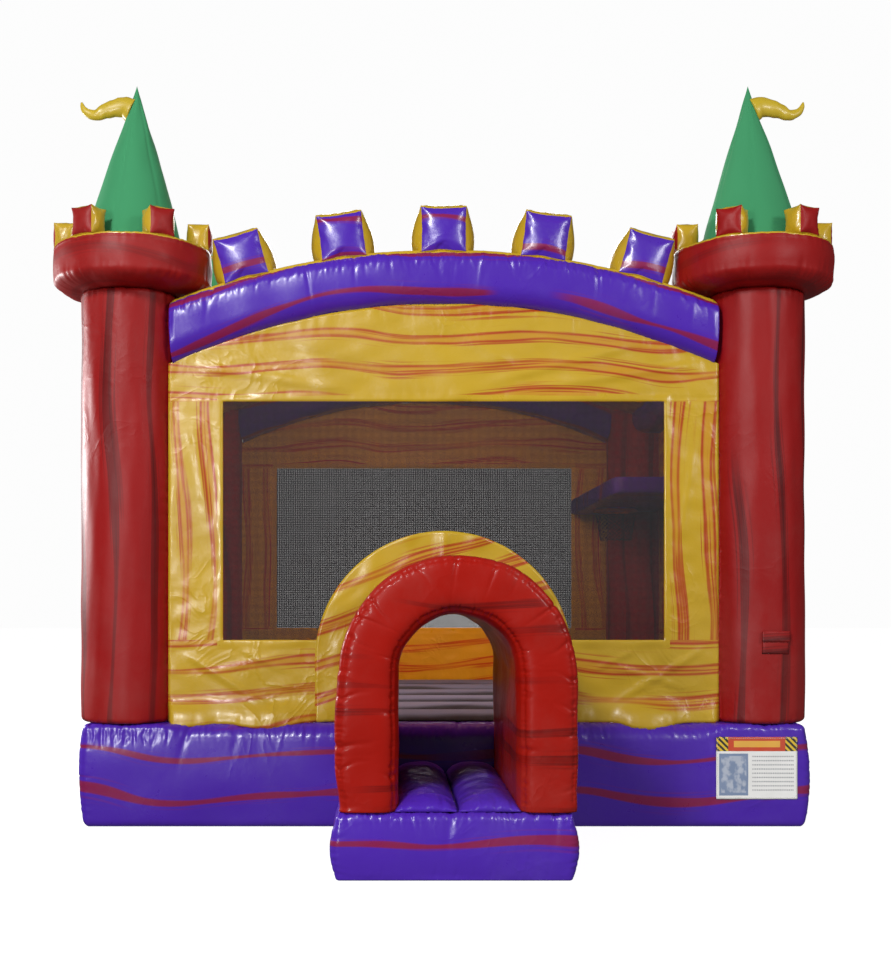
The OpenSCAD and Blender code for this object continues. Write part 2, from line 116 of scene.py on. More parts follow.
class BounceHouseSizes(bpy.types.PropertyGroup):
    """Sizes of the sewn work."""

    gather_depth: FloatProperty(
        name="Gather Depth", description="Depth of the short folds along a seam",
        default=0.0048, min=0.0, max=0.02, unit="LENGTH")
    gather_spacing: FloatProperty(
        name="Gather Spacing", description="Mean distance between the folds along a seam",
        default=0.042, min=0.01, max=0.2, unit="LENGTH")
    gather_reach: FloatProperty(
        name="Gather Reach", description="How far a fold runs away from its seam",
        default=0.085, min=0.01, max=0.4, unit="LENGTH")
    sheet_thickness: FloatProperty(
        name="Sheet Thickness", description="Thickness of the single-layer sheets",
        default=0.003, min=0.0005, max=0.01, unit="LENGTH")
    net_pitch: FloatProperty(
        name="Net Pitch", description="Distance between the strands of the netting",
        default=0.0072, min=0.003, max=0.05, unit="LENGTH")
    net_strand: FloatProperty(
        name="Net Strand", description="Width of a strand of the netting",
        default=0.0037, min=0.0005, max=0.02, unit="LENGTH")
    stitch_pitch: FloatProperty(
        name="Stitch Pitch", description="Distance between stitches",
        default=0.014, min=0.003, max=0.05, unit="LENGTH")
    bolster_roll: FloatProperty(
        name="Bolster Roll", description="Radius of the base's upper edge between the columns",
        default=0.115, min=0.02, max=0.2, unit="LENGTH")
    merlon_puff: FloatProperty(
        name="Merlon Puff", description="How far a merlon's side walls bulge",
        default=0.058, min=0.0, max=0.1, unit="LENGTH")
    print_period: FloatProperty(
        name="Print Period", description="Distance between the bands printed on the fabric",
        default=0.264, min=0.05, max=1.0, unit="LENGTH")


class BounceHouseColours(bpy.types.PropertyGroup):
    """Colours of the coated fabrics and fittings."""

    purple: FloatVectorProperty(
        name="Purple", description="Base and beam fabric", subtype="COLOR", size=3,
        default=(0.070, 0.016, 0.400), min=0.0, max=1.0)
    purple_band: FloatVectorProperty(
        name="Purple Band", description="Bands printed on the purple fabric", subtype="COLOR", size=3,
        default=(0.245, 0.010, 0.050), min=0.0, max=1.0)
    red: FloatVectorProperty(
        name="Red", description="Column, cap and tunnel fabric", subtype="COLOR", size=3,
        default=(0.290, 0.004, 0.004), min=0.0, max=1.0)
    tunnel_red: FloatVectorProperty(
        name="Tunnel Red", description="Entry tunnel fabric", subtype="COLOR", size=3,
        default=(0.320, 0.007, 0.003), min=0.0, max=1.0)
    floor: FloatVectorProperty(
        name="Jumping Floor", description="Jumping floor fabric", subtype="COLOR", size=3,
        default=(0.110, 0.150, 0.310), min=0.0, max=1.0)
    red_band: FloatVectorProperty(
        name="Red Band", description="Dark bands printed on the red fabric", subtype="COLOR", size=3,
        default=(0.055, 0.003, 0.004), min=0.0, max=1.0)
    yellow: FloatVectorProperty(
        name="Yellow", description="Wall and trim fabric", subtype="COLOR", size=3,
        default=(0.520, 0.330, 0.014), min=0.0, max=1.0)
    yellow_smear: FloatVectorProperty(
        name="Yellow Smear", description="Soft part of the wall print", subtype="COLOR", size=3,
        default=(0.520, 0.120, 0.008), min=0.0, max=1.0)
    yellow_line: FloatVectorProperty(
        name="Yellow Line", description="Fine lines of the wall print", subtype="COLOR", size=3,
        default=(0.380, 0.018, 0.004), min=0.0, max=1.0)
    green: FloatVectorProperty(
        name="Green", description="Spire fabric", subtype="COLOR", size=3,
        default=(0.004, 0.062, 0.019), min=0.0, max=1.0)
    flag: FloatVectorProperty(
        name="Flag", description="Flag fabric", subtype="COLOR", size=3,
        default=(0.520, 0.370, 0.020), min=0.0, max=1.0)
    netting: FloatVectorProperty(
        name="Netting", description="Window netting", subtype="COLOR", size=3,
        default=(0.010, 0.010, 0.012), min=0.0, max=1.0)
    webbing: FloatVectorProperty(
        name="Webbing", description="Straps and tapes", subtype="COLOR", size=3,
        default=(0.014, 0.014, 0.016), min=0.0, max=1.0)


def sizes():
    return bpy.context.scene.bounce_house_sizes


def colours():
    return bpy.context.scene.bounce_house_colours


# ---------------------------------------------------------------- shapes

def smooth(t):
    t = np.clip(t, 0.0, 1.0)
    return t * t * (3.0 - 2.0 * t)


def ripple(rng, a, b, wave, count=8):
    """Smooth irregular waves over two coordinates, roughly from -1 to 1."""
    total = 0.0
    for _ in range(count):
        turn, rate, phase = rng.uniform(0, math.tau), rng.uniform(0.6, 1.7), rng.uniform(0, math.tau)
        total = total + np.sin(math.tau / wave * rate * (a * math.cos(turn) + b * math.sin(turn)) + phase)
    return total / math.sqrt(count)


def gather(height, along, away, rng, spacing=None, depth=None, reach=None, width=0.0125, lean=0.3):
    """Presses short folds into a skin's height. They stand along a seam and run away from it."""
    s = sizes()
    spacing = spacing or s.gather_spacing
    depth = depth or s.gather_depth
    reach = reach or s.gather_reach
    row = along if along.ndim == 2 else along[:, None] + 0 * away
    flat_low, flat_high = float(row.min()), float(row.max())
    at = flat_low
    while at < flat_high:
        at += spacing * rng.uniform(0.55, 1.45)
        w = width * rng.uniform(0.7, 1.35)
        d = depth * rng.uniform(0.3, 1.25) * (1.0 if rng.uniform() < 0.8 else -0.6)
        r = reach * rng.uniform(0.4, 1.35)
        slant = rng.uniform(-lean, lean)
        near = np.abs(row - at) < 4.5 * w + abs(slant) * 2.2 * r
        rows = np.nonzero(near.any(axis=1))[0]
        if not len(rows):
            continue
        part = slice(rows[0], rows[-1] + 1)
        x = row[part] - at - slant * away[part]
        height[part] -= d * np.exp(-((x / w) ** 2)) * np.exp(-((away[part] / r) ** 2))
    return height


def crease(height, x, z, start, end, width, depth):
    """Raises or presses one long soft fold from start to end."""
    ax, az = start
    dx, dz = end[0] - ax, end[1] - az
    length = math.hypot(dx, dz)
    t = ((x - ax) * dx + (z - az) * dz) / length ** 2
    side = ((x - ax) * -dz + (z - az) * dx) / length
    window = smooth(t / 0.25) * smooth((1 - t) / 0.35)
    height += depth * window * np.exp(-((side / width) ** 2))
    return height


class Sewn:
    """Gathers the patches of one sewn piece and makes its mesh. Patch maps are in metres."""

    def __init__(self):
        self.points, self.maps, self.quads, self.slots, self.count = [], [], [], [], 0

    def add(self, points, maps, slot=0, flip=False):
        n, m = points.shape[:2]
        index = np.arange(n * m).reshape(n, m) + self.count
        corners = [index[:-1, :-1], index[1:, :-1], index[1:, 1:], index[:-1, 1:]]
        if flip:
            corners.reverse()
        quads = np.stack(corners, -1).reshape(-1, 4)
        self.points.append(points.reshape(-1, 3))
        self.maps.append(np.broadcast_to(maps, (n, m, 2)).reshape(-1, 2))
        self.quads.append(quads)
        slot = np.broadcast_to(slot, (n - 1, m - 1)).reshape(-1)
        self.slots.append(slot)
        self.count += n * m
        return self

    def make(self, name, materials, closed=True, weld=0.00015, thickness=0.0):
        points = np.concatenate(self.points)
        maps = np.concatenate(self.maps)
        quads = np.concatenate(self.quads)
        mesh = bpy.data.meshes.new(name)
        mesh.from_pydata(points.tolist(), [], quads.tolist())
        layer = mesh.uv_layers.new(name="print")
        layer.data.foreach_set("uv", maps[quads.reshape(-1)].astype(np.float32).reshape(-1))
        mesh.polygons.foreach_set("material_index", np.concatenate(self.slots).astype(np.int32))
        bm = bmesh.new()
        bm.from_mesh(mesh)
        bmesh.ops.remove_doubles(bm, verts=bm.verts, dist=weld)
        bmesh.ops.dissolve_degenerate(bm, edges=bm.edges, dist=weld / 2)
        if closed:
            bmesh.ops.recalc_face_normals(bm, faces=bm.faces)
        bm.to_mesh(mesh)
        bm.free()
        for polygon in mesh.polygons:
            polygon.use_smooth = True
        for material in materials:
            mesh.materials.append(material)
        obj = link_object(name, mesh)
        if thickness:
            wall = obj.modifiers.new("thickness", "SOLIDIFY")
            wall.thickness = thickness
            wall.offset = 0.0
            apply_modifiers(obj)
        return obj


def link_object(name, mesh):
    obj = bpy.data.objects.new(name, mesh)
    bpy.context.scene.collection.objects.link(obj)
    return obj


def apply_modifiers(obj):
    """Turns the evaluated object into its plain mesh."""
    depsgraph = bpy.context.evaluated_depsgraph_get()
    mesh = bpy.data.meshes.new_from_object(obj.evaluated_get(depsgraph), depsgraph=depsgraph)
    old = obj.data
    obj.modifiers.clear()
    obj.data = mesh
    mesh.name = obj.name
    if old.users == 0:
        bpy.data.meshes.remove(old)
    return obj


def seat(obj, *nodes, slot=None, body=HOUSE):
    """Puts a finished piece on its body and lets it stand for its CAD nodes."""
    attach(obj, body)
    if nodes:
        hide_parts(*nodes)
    return obj


def weave(a, b):
    return np.stack(np.broadcast_arrays(a, b), -1)


def place(x, y, z):
    return np.stack(np.broadcast_arrays(x, y, z), -1)


# ---------------------------------------------------------------- shader groups

def new_group(name, inputs, outputs):
    tree = bpy.data.node_groups.new(name, "ShaderNodeTree")
    for label, kind, value in inputs:
        socket = tree.interface.new_socket(label, in_out="INPUT", socket_type=kind)
        if value is not None:
            socket.default_value = value
    for label, kind in outputs:
        tree.interface.new_socket(label, in_out="OUTPUT", socket_type=kind)
    return tree, tree.nodes.new("NodeGroupInput"), tree.nodes.new("NodeGroupOutput")


class Wires:
    """Short forms for wiring math and noise nodes."""

    def __init__(self, tree):
        self.tree = tree

    def node(self, kind, **inputs):
        node = self.tree.nodes.new(kind)
        for key, value in inputs.items():
            self.feed(node.inputs[key.replace("_", " ")], value)
        return node

    def feed(self, socket, value):
        if isinstance(value, bpy.types.NodeSocket):
            self.tree.links.new(value, socket)
        else:
            socket.default_value = value

    def math(self, operation, *values, clamp=False):
        node = self.tree.nodes.new("ShaderNodeMath")
        node.operation = operation
        node.use_clamp = clamp
        for i, value in enumerate(values):
            self.feed(node.inputs[i], value)
        return node.outputs[0]

    def vector(self, x=0.0, y=0.0, z=0.0):
        node = self.tree.nodes.new("ShaderNodeCombineXYZ")
        for i, value in enumerate((x, y, z)):
            self.feed(node.inputs[i], value)
        return node.outputs[0]

    def noise(self, vector, scale=1.0, detail=1.0, roughness=0.5, distortion=0.0):
        node = self.tree.nodes.new("ShaderNodeTexNoise")
        self.feed(node.inputs["Vector"], vector)
        node.inputs["Scale"].default_value = scale
        node.inputs["Detail"].default_value = detail
        node.inputs["Roughness"].default_value = roughness
        node.inputs["Distortion"].default_value = distortion
        return node.outputs["Fac"]

    def step(self, value, low, high, out_low=0.0, out_high=1.0):
        node = self.tree.nodes.new("ShaderNodeMapRange")
        node.interpolation_type = "SMOOTHSTEP"
        for key, item in (("Value", value), ("From Min", low), ("From Max", high),
                          ("To Min", out_low), ("To Max", out_high)):
            self.feed(node.inputs[key], item)
        return node.outputs["Result"]

    def mix(self, factor, a, b):
        node = self.tree.nodes.new("ShaderNodeMix")
        node.data_type = "RGBA"
        self.feed(node.inputs[0], factor)
        for socket, value in ((node.inputs[6], a), (node.inputs[7], b)):
            self.feed(socket, value)
        return node.outputs[2]


def print_and_shade_bands():
    """Bands and fine lines from a map in metres: the print of a printed fabric, and on the jumping floor painted shade
    in the valleys between the ribs.
    """
    if "Marbled Print" in bpy.data.node_groups:
        return bpy.data.node_groups["Marbled Print"]
    tree, source, sink = new_group(
        "Marbled Print",
        [("Map", "NodeSocketVector", None), ("Period", "NodeSocketFloat", 0.264),
         ("Phase", "NodeSocketFloat", 0.0), ("Wave Height", "NodeSocketFloat", 0.026),
         ("Wave Length", "NodeSocketFloat", 1.57), ("Band Width", "NodeSocketFloat", 0.045),
         ("Line Width", "NodeSocketFloat", 0.006), ("Softness", "NodeSocketFloat", 0.006),
         ("Breaks", "NodeSocketFloat", 0.3), ("Seed", "NodeSocketFloat", 0.0)],
        [("Band", "NodeSocketFloat"), ("Lines", "NodeSocketFloat")])
    w = Wires(tree)
    value = source.outputs
    split = w.node("ShaderNodeSeparateXYZ", Vector=value["Map"])
    u, v = split.outputs[0], split.outputs[1]
    drift = w.noise(w.vector(w.math("MULTIPLY", u, 0.9), w.math("MULTIPLY", v, 0.8), value["Seed"]), 1.0)
    turn = w.math("DIVIDE", w.math("MULTIPLY", u, math.tau), value["Wave Length"])
    swell = w.math("SINE", w.math("ADD", turn, w.math("MULTIPLY", drift, 3.4)))
    wander = w.math("MULTIPLY", w.math("SUBTRACT", drift, 0.5), 0.16)
    across = w.math("ADD", w.math("ADD", v, value["Phase"]),
                    w.math("ADD", w.math("MULTIPLY", swell, value["Wave Height"]), wander))
    cell = w.math("DIVIDE", across, value["Period"])
    index = w.math("FLOOR", cell)
    away = w.math("ABSOLUTE", w.math("SUBTRACT", w.math("FRACT", cell), 0.5))
    away = w.math("MULTIPLY", away, value["Period"])
    swell_2 = w.noise(w.vector(w.math("MULTIPLY", u, 1.3), w.math("MULTIPLY", index, 7.31), value["Seed"]), 1.0)
    half = w.math("MULTIPLY", w.math("MULTIPLY", value["Band Width"], 0.5),
                  w.step(swell_2, 0.25, 0.75, 0.35, 1.6))
    low, high = w.math("SUBTRACT", half, value["Softness"]), w.math("ADD", half, value["Softness"])
    band = w.step(away, high, low)
    presence = w.noise(w.vector(w.math("MULTIPLY", u, 0.8), w.math("MULTIPLY", index, 3.7),
                                w.math("ADD", value["Seed"], 5.0)), 1.0)
    kept = w.step(presence, value["Breaks"], w.math("ADD", value["Breaks"], 0.08))
    band = w.math("MULTIPLY", band, kept)
    # Fine lines: one along each edge of the band, and grain inside it.
    edge = w.math("ABSOLUTE", w.math("SUBTRACT", away, half))
    rim = w.step(edge, value["Line Width"], 0.0)
    grain = w.noise(w.vector(w.math("MULTIPLY", u, 1.1), w.math("MULTIPLY", across, 58.0),
                             value["Seed"]), 1.0, 2.0)
    wide = w.step(away, w.math("MULTIPLY", half, 3.0), w.math("MULTIPLY", half, 1.6))
    threads = w.math("MULTIPLY", w.step(grain, 0.52, 0.62), wide)
    lines = w.math("MAXIMUM", w.math("MULTIPLY", rim, w.step(swell_2, 0.35, 0.6, 0.45, 1.0)),
                   w.math("MULTIPLY", threads, 0.8))
    lines = w.math("MULTIPLY", lines, kept, clamp=True)
    tree.links.new(band, sink.inputs["Band"])
    tree.links.new(lines, sink.inputs["Lines"])
    return tree


def coated_fabric():
    """Crinkles, scrim and scuffs of a coated fabric, on object coordinates."""
    if "Coated Fabric" in bpy.data.node_groups:
        return bpy.data.node_groups["Coated Fabric"]
    tree, source, sink = new_group(
        "Coated Fabric",
        [("Place", "NodeSocketVector", None), ("Crinkle", "NodeSocketFloat", 1.0),
         ("Scrim", "NodeSocketFloat", 0.12), ("Gloss", "NodeSocketFloat", 0.3)],
        [("Height", "NodeSocketFloat"), ("Roughness", "NodeSocketFloat"), ("Dirt", "NodeSocketFloat")])
    w = Wires(tree)
    value = source.outputs
    where = value["Place"]
    soft = w.noise(where, 3.2, 3.0, 0.5, 0.6)
    fold = w.math("SUBTRACT", 1.0, w.math("ABSOLUTE", w.math("MULTIPLY", w.math("SUBTRACT", soft, 0.5), 5.0)))
    fold = w.math("POWER", w.math("MAXIMUM", fold, 0.0), 3.0)
    patch = w.step(w.noise(where, 1.3, 1.0), 0.42, 0.68)
    fine = w.noise(where, 26.0, 2.0, 0.55, 0.4)
    folds = w.math("MULTIPLY", w.math("MULTIPLY", fold, patch), 0.6)
    crinkle = w.math("ADD", folds, w.math("MULTIPLY", fine, 0.16))
    crinkle = w.math("MULTIPLY", crinkle, value["Crinkle"])
    weft = w.node("ShaderNodeTexWave", Vector=where)
    weft.bands_direction = "Z"
    weft.inputs["Scale"].default_value = 160.0
    warp = w.node("ShaderNodeTexWave", Vector=where)
    warp.bands_direction = "DIAGONAL"
    warp.inputs["Scale"].default_value = 95.0
    scrim = w.math("MULTIPLY", w.math("ADD", weft.outputs["Fac"], warp.outputs["Fac"]),
                   w.math("MULTIPLY", value["Scrim"], 0.1))
    tree.links.new(w.math("ADD", crinkle, scrim), sink.inputs["Height"])
    scuff = w.noise(where, 7.0, 4.0, 0.65)
    rough = w.math("ADD", value["Gloss"], w.math("MULTIPLY", w.math("SUBTRACT", scuff, 0.5), 0.16), clamp=True)
    tree.links.new(rough, sink.inputs["Roughness"])
    dirt = w.math("MULTIPLY", w.noise(where, 2.1, 5.0, 0.7), w.noise(where, 0.7, 1.0))
    dirt = w.step(dirt, 0.2, 0.42, 0.0, 1.0)
    tree.links.new(dirt, sink.inputs["Dirt"])
    return tree


def place_group(w, group, **inputs):
    node = w.tree.nodes.new("ShaderNodeGroup")
    node.node_tree = group
    for key, value in inputs.items():
        w.feed(node.inputs[key.replace("_", " ")], value)
    return node


def rgba(colour):
    return (*colour[:3], 1.0)


def new_material(name):
    material = bpy.data.materials.new(name)
    material.use_nodes = True
    tree = material.node_tree
    return material, tree, tree.nodes["Principled BSDF"], Wires(tree)


def add_relief(w, shader, height, strength, distance):
    relief = w.node("ShaderNodeBump", Strength=strength, Distance=distance, Height=height)
    w.feed(shader.inputs["Normal"], relief.outputs[0])


def vinyl(name, base, band=None, line=None, band_strength=1.0, line_strength=1.0, gloss=0.27, crinkle=1.0,
          coat=0.35, shine=0.5, bump=0.35, **band_inputs):
    """A printed, coated fabric. The print follows the piece's own map; on the jumping floor the same bands are painted
    shade in the valleys between the ribs.
    """
    if name in bpy.data.materials:
        return bpy.data.materials[name]
    material, tree, shader, w = new_material(name)
    coords = tree.nodes.new("ShaderNodeTexCoord")
    chart = tree.nodes.new("ShaderNodeUVMap")
    chart.uv_map = "print"
    surface = place_group(w, coated_fabric(), Place=coords.outputs["Object"], Crinkle=crinkle, Gloss=gloss)
    colour = rgba(base)
    if band is not None:
        band_inputs.setdefault("Period", sizes().print_period)
        pattern = place_group(w, print_and_shade_bands(), Map=chart.outputs[0], **band_inputs)
        colour = w.mix(w.math("MULTIPLY", pattern.outputs["Band"], band_strength), colour, rgba(band))
        if line is not None:
            colour = w.mix(w.math("MULTIPLY", pattern.outputs["Lines"], line_strength), colour, rgba(line))
    shade = w.noise(coords.outputs["Object"], 1.7, 3.0)
    dark = tree.nodes.new("ShaderNodeMix")
    dark.data_type = "RGBA"
    dark.blend_type = "MULTIPLY"
    w.feed(dark.inputs[0], w.math("MULTIPLY", w.step(shade, 0.3, 0.75), 0.16))
    w.feed(dark.inputs[6], colour)
    dark.inputs[7].default_value = (0.55, 0.5, 0.5, 1.0)
    w.feed(shader.inputs["Base Color"], w.mix(w.math("MULTIPLY", surface.outputs["Dirt"], 0.05),
                                             dark.outputs[2], (0.25, 0.23, 0.2, 1.0)))
    w.feed(shader.inputs["Roughness"], surface.outputs["Roughness"])
    add_relief(w, shader, surface.outputs["Height"], bump, 0.012)
    shader.inputs["Coat Weight"].default_value = coat
    shader.inputs["Coat Roughness"].default_value = 0.14
    shader.inputs["Specular IOR Level"].default_value = shine
    shader.inputs["IOR"].default_value = 1.5
    return material


def purple_vinyl(seed=0.0, phase=0.0):
    c = colours()
    return vinyl(f"purple_vinyl_{seed:g}", c.purple, c.purple_band, c.purple_band, 0.92, 0.35,
                 gloss=0.3, coat=0.25, Band_Width=0.042, Softness=0.006, Line_Width=0.004,
                 Breaks=0.28, Seed=seed, Phase=phase)


def plain_purple():
    return vinyl("plain_purple_vinyl", colours().purple, gloss=0.3, coat=0.06, shine=0.2)


def red_vinyl(seed=0.0, phase=0.0, strength=0.62, gloss=0.47, coat=0.0):
    c = colours()
    return vinyl(f"red_vinyl_{seed:g}", c.red, c.red_band, c.red_band, strength, strength,
                 gloss=gloss, coat=coat, shine=0.28, Band_Width=0.036, Softness=0.013,
                 Line_Width=0.005, Breaks=0.3, Seed=seed, Phase=phase)


def tunnel_red():
    c = colours()
    return vinyl("tunnel_red_vinyl", c.tunnel_red, c.red_band, c.red_band, 0.45, 0.55,
                 gloss=0.38, coat=0.12, shine=0.12, Period=0.137, Wave_Height=0.010,
                 Wave_Length=0.9, Band_Width=0.026, Softness=0.013, Line_Width=0.004,
                 Breaks=0.5, Seed=1.0, Phase=0.03)


def yellow_vinyl(seed=0.0, phase=0.0):
    c = colours()
    return vinyl(f"yellow_vinyl_{seed:g}", c.yellow, c.yellow_smear, c.yellow_line, 0.34, 0.95,
                 gloss=0.34, crinkle=1.6, coat=0.12, Period=0.19, Band_Width=0.042, Softness=0.02,
                 Line_Width=0.015, Breaks=0.15, Seed=seed, Phase=phase)


def plain_yellow():
    return vinyl("plain_yellow_vinyl", colours().yellow, gloss=0.3, coat=0.25)


def flag_yellow():
    return vinyl("flag_yellow_vinyl", colours().flag, gloss=0.36, crinkle=0.7, coat=0.15)


def green_vinyl():
    return vinyl("green_vinyl", colours().green, gloss=0.42, crinkle=0.5, coat=0.05, shine=0.35)


def woven(name, base, scale=420.0, rough=0.75, strength=0.5):
    """Webbing, tape and netting yarn: a ribbed weave."""
    if name in bpy.data.materials:
        return bpy.data.materials[name]
    material, tree, shader, w = new_material(name)
    coords = tree.nodes.new("ShaderNodeTexCoord")
    rib = w.node("ShaderNodeTexWave", Vector=coords.outputs["Object"])
    rib.bands_direction = "DIAGONAL"
    rib.inputs["Scale"].default_value = scale / 6
    rib.inputs["Distortion"].default_value = 0.6
    cross = w.node("ShaderNodeTexWave", Vector=coords.outputs["Object"])
    cross.bands_direction = "Z"
    cross.inputs["Scale"].default_value = scale / 5
    cloth = w.math("MULTIPLY", rib.outputs["Fac"], cross.outputs["Fac"])
    light = tuple(min(1.0, x * 1.9 + 0.012) for x in base[:3])
    w.feed(shader.inputs["Base Color"], w.mix(cloth, rgba(base), rgba(light)))
    fuzz = w.noise(coords.outputs["Object"], 60.0, 3.0)
    w.feed(shader.inputs["Roughness"], w.step(fuzz, 0.2, 0.8, rough - 0.1, rough + 0.1))
    add_relief(w, shader, cloth, strength, 0.001)
    return material


def zinc_steel():
    """Zinc-plated steel with a fine spangle, a mottled roughness and a faint relief."""
    if "zinc_steel" in bpy.data.materials:
        return bpy.data.materials["zinc_steel"]
    material, tree, shader, w = new_material("zinc_steel")
    coords = tree.nodes.new("ShaderNodeTexCoord")
    spangle = tree.nodes.new("ShaderNodeTexVoronoi")
    spangle.inputs["Scale"].default_value = 260.0
    tree.links.new(coords.outputs["Object"], spangle.inputs["Vector"])
    tone = w.step(spangle.outputs["Distance"], 0.0, 0.8)
    w.feed(shader.inputs["Base Color"], w.mix(tone, (0.62, 0.63, 0.65, 1.0), (0.42, 0.43, 0.45, 1.0)))
    rough = w.noise(coords.outputs["Object"], 90.0, 4.0, 0.6)
    w.feed(shader.inputs["Roughness"], w.step(rough, 0.3, 0.7, 0.24, 0.44))
    shader.inputs["Metallic"].default_value = 1.0
    add_relief(w, shader, rough, 0.2, 0.0004)
    return material


# ---------------------------------------------------------------- geometry-node trees

def node_tree(name, inputs):
    tree = bpy.data.node_groups.new(name, "GeometryNodeTree")
    tree.interface.new_socket("Geometry", in_out="INPUT", socket_type="NodeSocketGeometry")
    for label, kind, value in inputs:
        socket = tree.interface.new_socket(label, in_out="INPUT", socket_type=kind)
        if value is not None:
            socket.default_value = value
    tree.interface.new_socket("Geometry", in_out="OUTPUT", socket_type="NodeSocketGeometry")
    return tree, tree.nodes.new("NodeGroupInput"), tree.nodes.new("NodeGroupOutput")


def end_tree(tree, geometry, material, sink):
    """Makes instances real, gives them their material and closes the tree."""
    real = tree.nodes.new("GeometryNodeRealizeInstances")
    paint = tree.nodes.new("GeometryNodeSetMaterial")
    tree.links.new(geometry, real.inputs[0])
    tree.links.new(real.outputs[0], paint.inputs["Geometry"])
    tree.links.new(material, paint.inputs["Material"])
    tree.links.new(paint.outputs[0], sink.inputs[0])
    return tree


def run_nodes(obj, tree, values):
    """Runs a geometry-node tree on an object and keeps the plain mesh."""
    modifier = obj.modifiers.new(tree.name, "NODES")
    modifier.node_group = tree
    for item in tree.interface.items_tree:
        if item.item_type == "SOCKET" and item.in_out == "INPUT" and item.name in values:
            modifier[item.identifier] = values[item.name]
    return apply_modifiers(obj)


def net_tree():
    """Upright and level strands over a rectangle, held clear of a round-topped doorway."""
    if "Window Net" in bpy.data.node_groups:
        return bpy.data.node_groups["Window Net"]
    tree, source, sink = node_tree("Window Net", [
        ("Half Width", "NodeSocketFloat", 1.4), ("Bottom", "NodeSocketFloat", 1.1),
        ("Top", "NodeSocketFloat", 2.7), ("Pitch", "NodeSocketFloat", 0.01),
        ("Strand", "NodeSocketFloat", 0.004), ("Arch Radius", "NodeSocketFloat", 0.0),
        ("Arch Spring", "NodeSocketFloat", 0.0), ("Yarn", "NodeSocketMaterial", None)])
    w = Wires(tree)
    value = source.outputs
    width = w.math("MULTIPLY", value["Half Width"], 2.0)
    height = w.math("SUBTRACT", value["Top"], value["Bottom"])
    strand = tree.nodes.new("GeometryNodeMeshCube")
    strand.inputs["Size"].default_value = (1.0, 1.0, 1.0)

    def strands(span, upright, side):
        """One family of strands. side is 0 for whole ones, and -1 or 1 for those cut at the arch."""
        count = w.math("FLOOR", w.math("DIVIDE", span, value["Pitch"]))
        line = tree.nodes.new("GeometryNodeMeshLine")
        w.feed(line.inputs["Count"], count)
        line.inputs["Offset"].default_value = (0.0, 0.0, 0.0)
        order = tree.nodes.new("GeometryNodeInputIndex").outputs[0]
        at = w.math("MULTIPLY", w.math("ADD", order, 0.5), w.math("DIVIDE", span, count))
        radius = value["Arch Radius"]
        if upright:
            x = w.math("SUBTRACT", at, value["Half Width"])
            inside = w.math("SUBTRACT", w.math("MULTIPLY", radius, radius), w.math("MULTIPLY", x, x))
            rise = w.math("SQRT", w.math("MAXIMUM", inside, 0.0))
            arch = w.math("MULTIPLY", w.math("ADD", value["Arch Spring"], rise),
                          w.math("GREATER_THAN", inside, 0.0))
            low = w.math("MAXIMUM", value["Bottom"], arch)
            length = w.math("SUBTRACT", value["Top"], low)
            centre = w.vector(x, 0.0, w.math("ADD", low, w.math("MULTIPLY", length, 0.5)))
            size = w.vector(value["Strand"], w.math("MULTIPLY", value["Strand"], 0.35), length)
        else:
            z = w.math("ADD", at, value["Bottom"])
            rise = w.math("SUBTRACT", z, value["Arch Spring"])
            inside = w.math("SUBTRACT", w.math("MULTIPLY", radius, radius), w.math("MULTIPLY", rise, rise))
            cut = w.math("SQRT", w.math("MAXIMUM", inside, 0.0))
            length = w.math("SUBTRACT", value["Half Width"], cut)
            middle_x = w.math("MULTIPLY", w.math("ADD", cut, w.math("MULTIPLY", length, 0.5)), float(side))
            centre = w.vector(middle_x, w.math("MULTIPLY", value["Strand"], 0.3), z)
            size = w.vector(length, w.math("MULTIPLY", value["Strand"], 0.35), value["Strand"])
        spread = tree.nodes.new("GeometryNodeSetPosition")
        w.feed(spread.inputs["Geometry"], line.outputs[0])
        w.feed(spread.inputs["Position"], centre)
        copies = tree.nodes.new("GeometryNodeInstanceOnPoints")
        w.feed(copies.inputs["Points"], spread.outputs[0])
        w.feed(copies.inputs["Instance"], strand.outputs["Mesh"])
        w.feed(copies.inputs["Scale"], size)
        return copies.outputs[0]

    join = tree.nodes.new("GeometryNodeJoinGeometry")
    for part in (strands(width, True, 0), strands(height, False, -1), strands(height, False, 1)):
        tree.links.new(part, join.inputs[0])
    return end_tree(tree, join.outputs[0], value["Yarn"], sink)


def stitch_tree():
    """Stitches along the edges of a mesh."""
    if "Stitches" in bpy.data.node_groups:
        return bpy.data.node_groups["Stitches"]
    tree, source, sink = node_tree("Stitches", [
        ("Pitch", "NodeSocketFloat", 0.014), ("Length", "NodeSocketFloat", 0.008),
        ("Thread", "NodeSocketFloat", 0.0016), ("Yarn", "NodeSocketMaterial", None)])
    w = Wires(tree)
    value = source.outputs
    curve = tree.nodes.new("GeometryNodeMeshToCurve")
    tree.links.new(value["Geometry"], curve.inputs["Mesh"])
    points = tree.nodes.new("GeometryNodeCurveToPoints")
    points.mode = "LENGTH"
    tree.links.new(curve.outputs[0], points.inputs["Curve"])
    tree.links.new(value["Pitch"], points.inputs["Length"])
    bar = tree.nodes.new("GeometryNodeMeshCylinder")
    bar.inputs["Vertices"].default_value = 5
    bar.inputs["Radius"].default_value = 1.0
    bar.inputs["Depth"].default_value = 1.0
    copies = tree.nodes.new("GeometryNodeInstanceOnPoints")
    tree.links.new(points.outputs["Points"], copies.inputs["Points"])
    tree.links.new(bar.outputs["Mesh"], copies.inputs["Instance"])
    tree.links.new(points.outputs["Rotation"], copies.inputs["Rotation"])
    w.feed(copies.inputs["Scale"], w.vector(value["Thread"], value["Thread"], value["Length"]))
    return end_tree(tree, copies.outputs[0], value["Yarn"], sink)


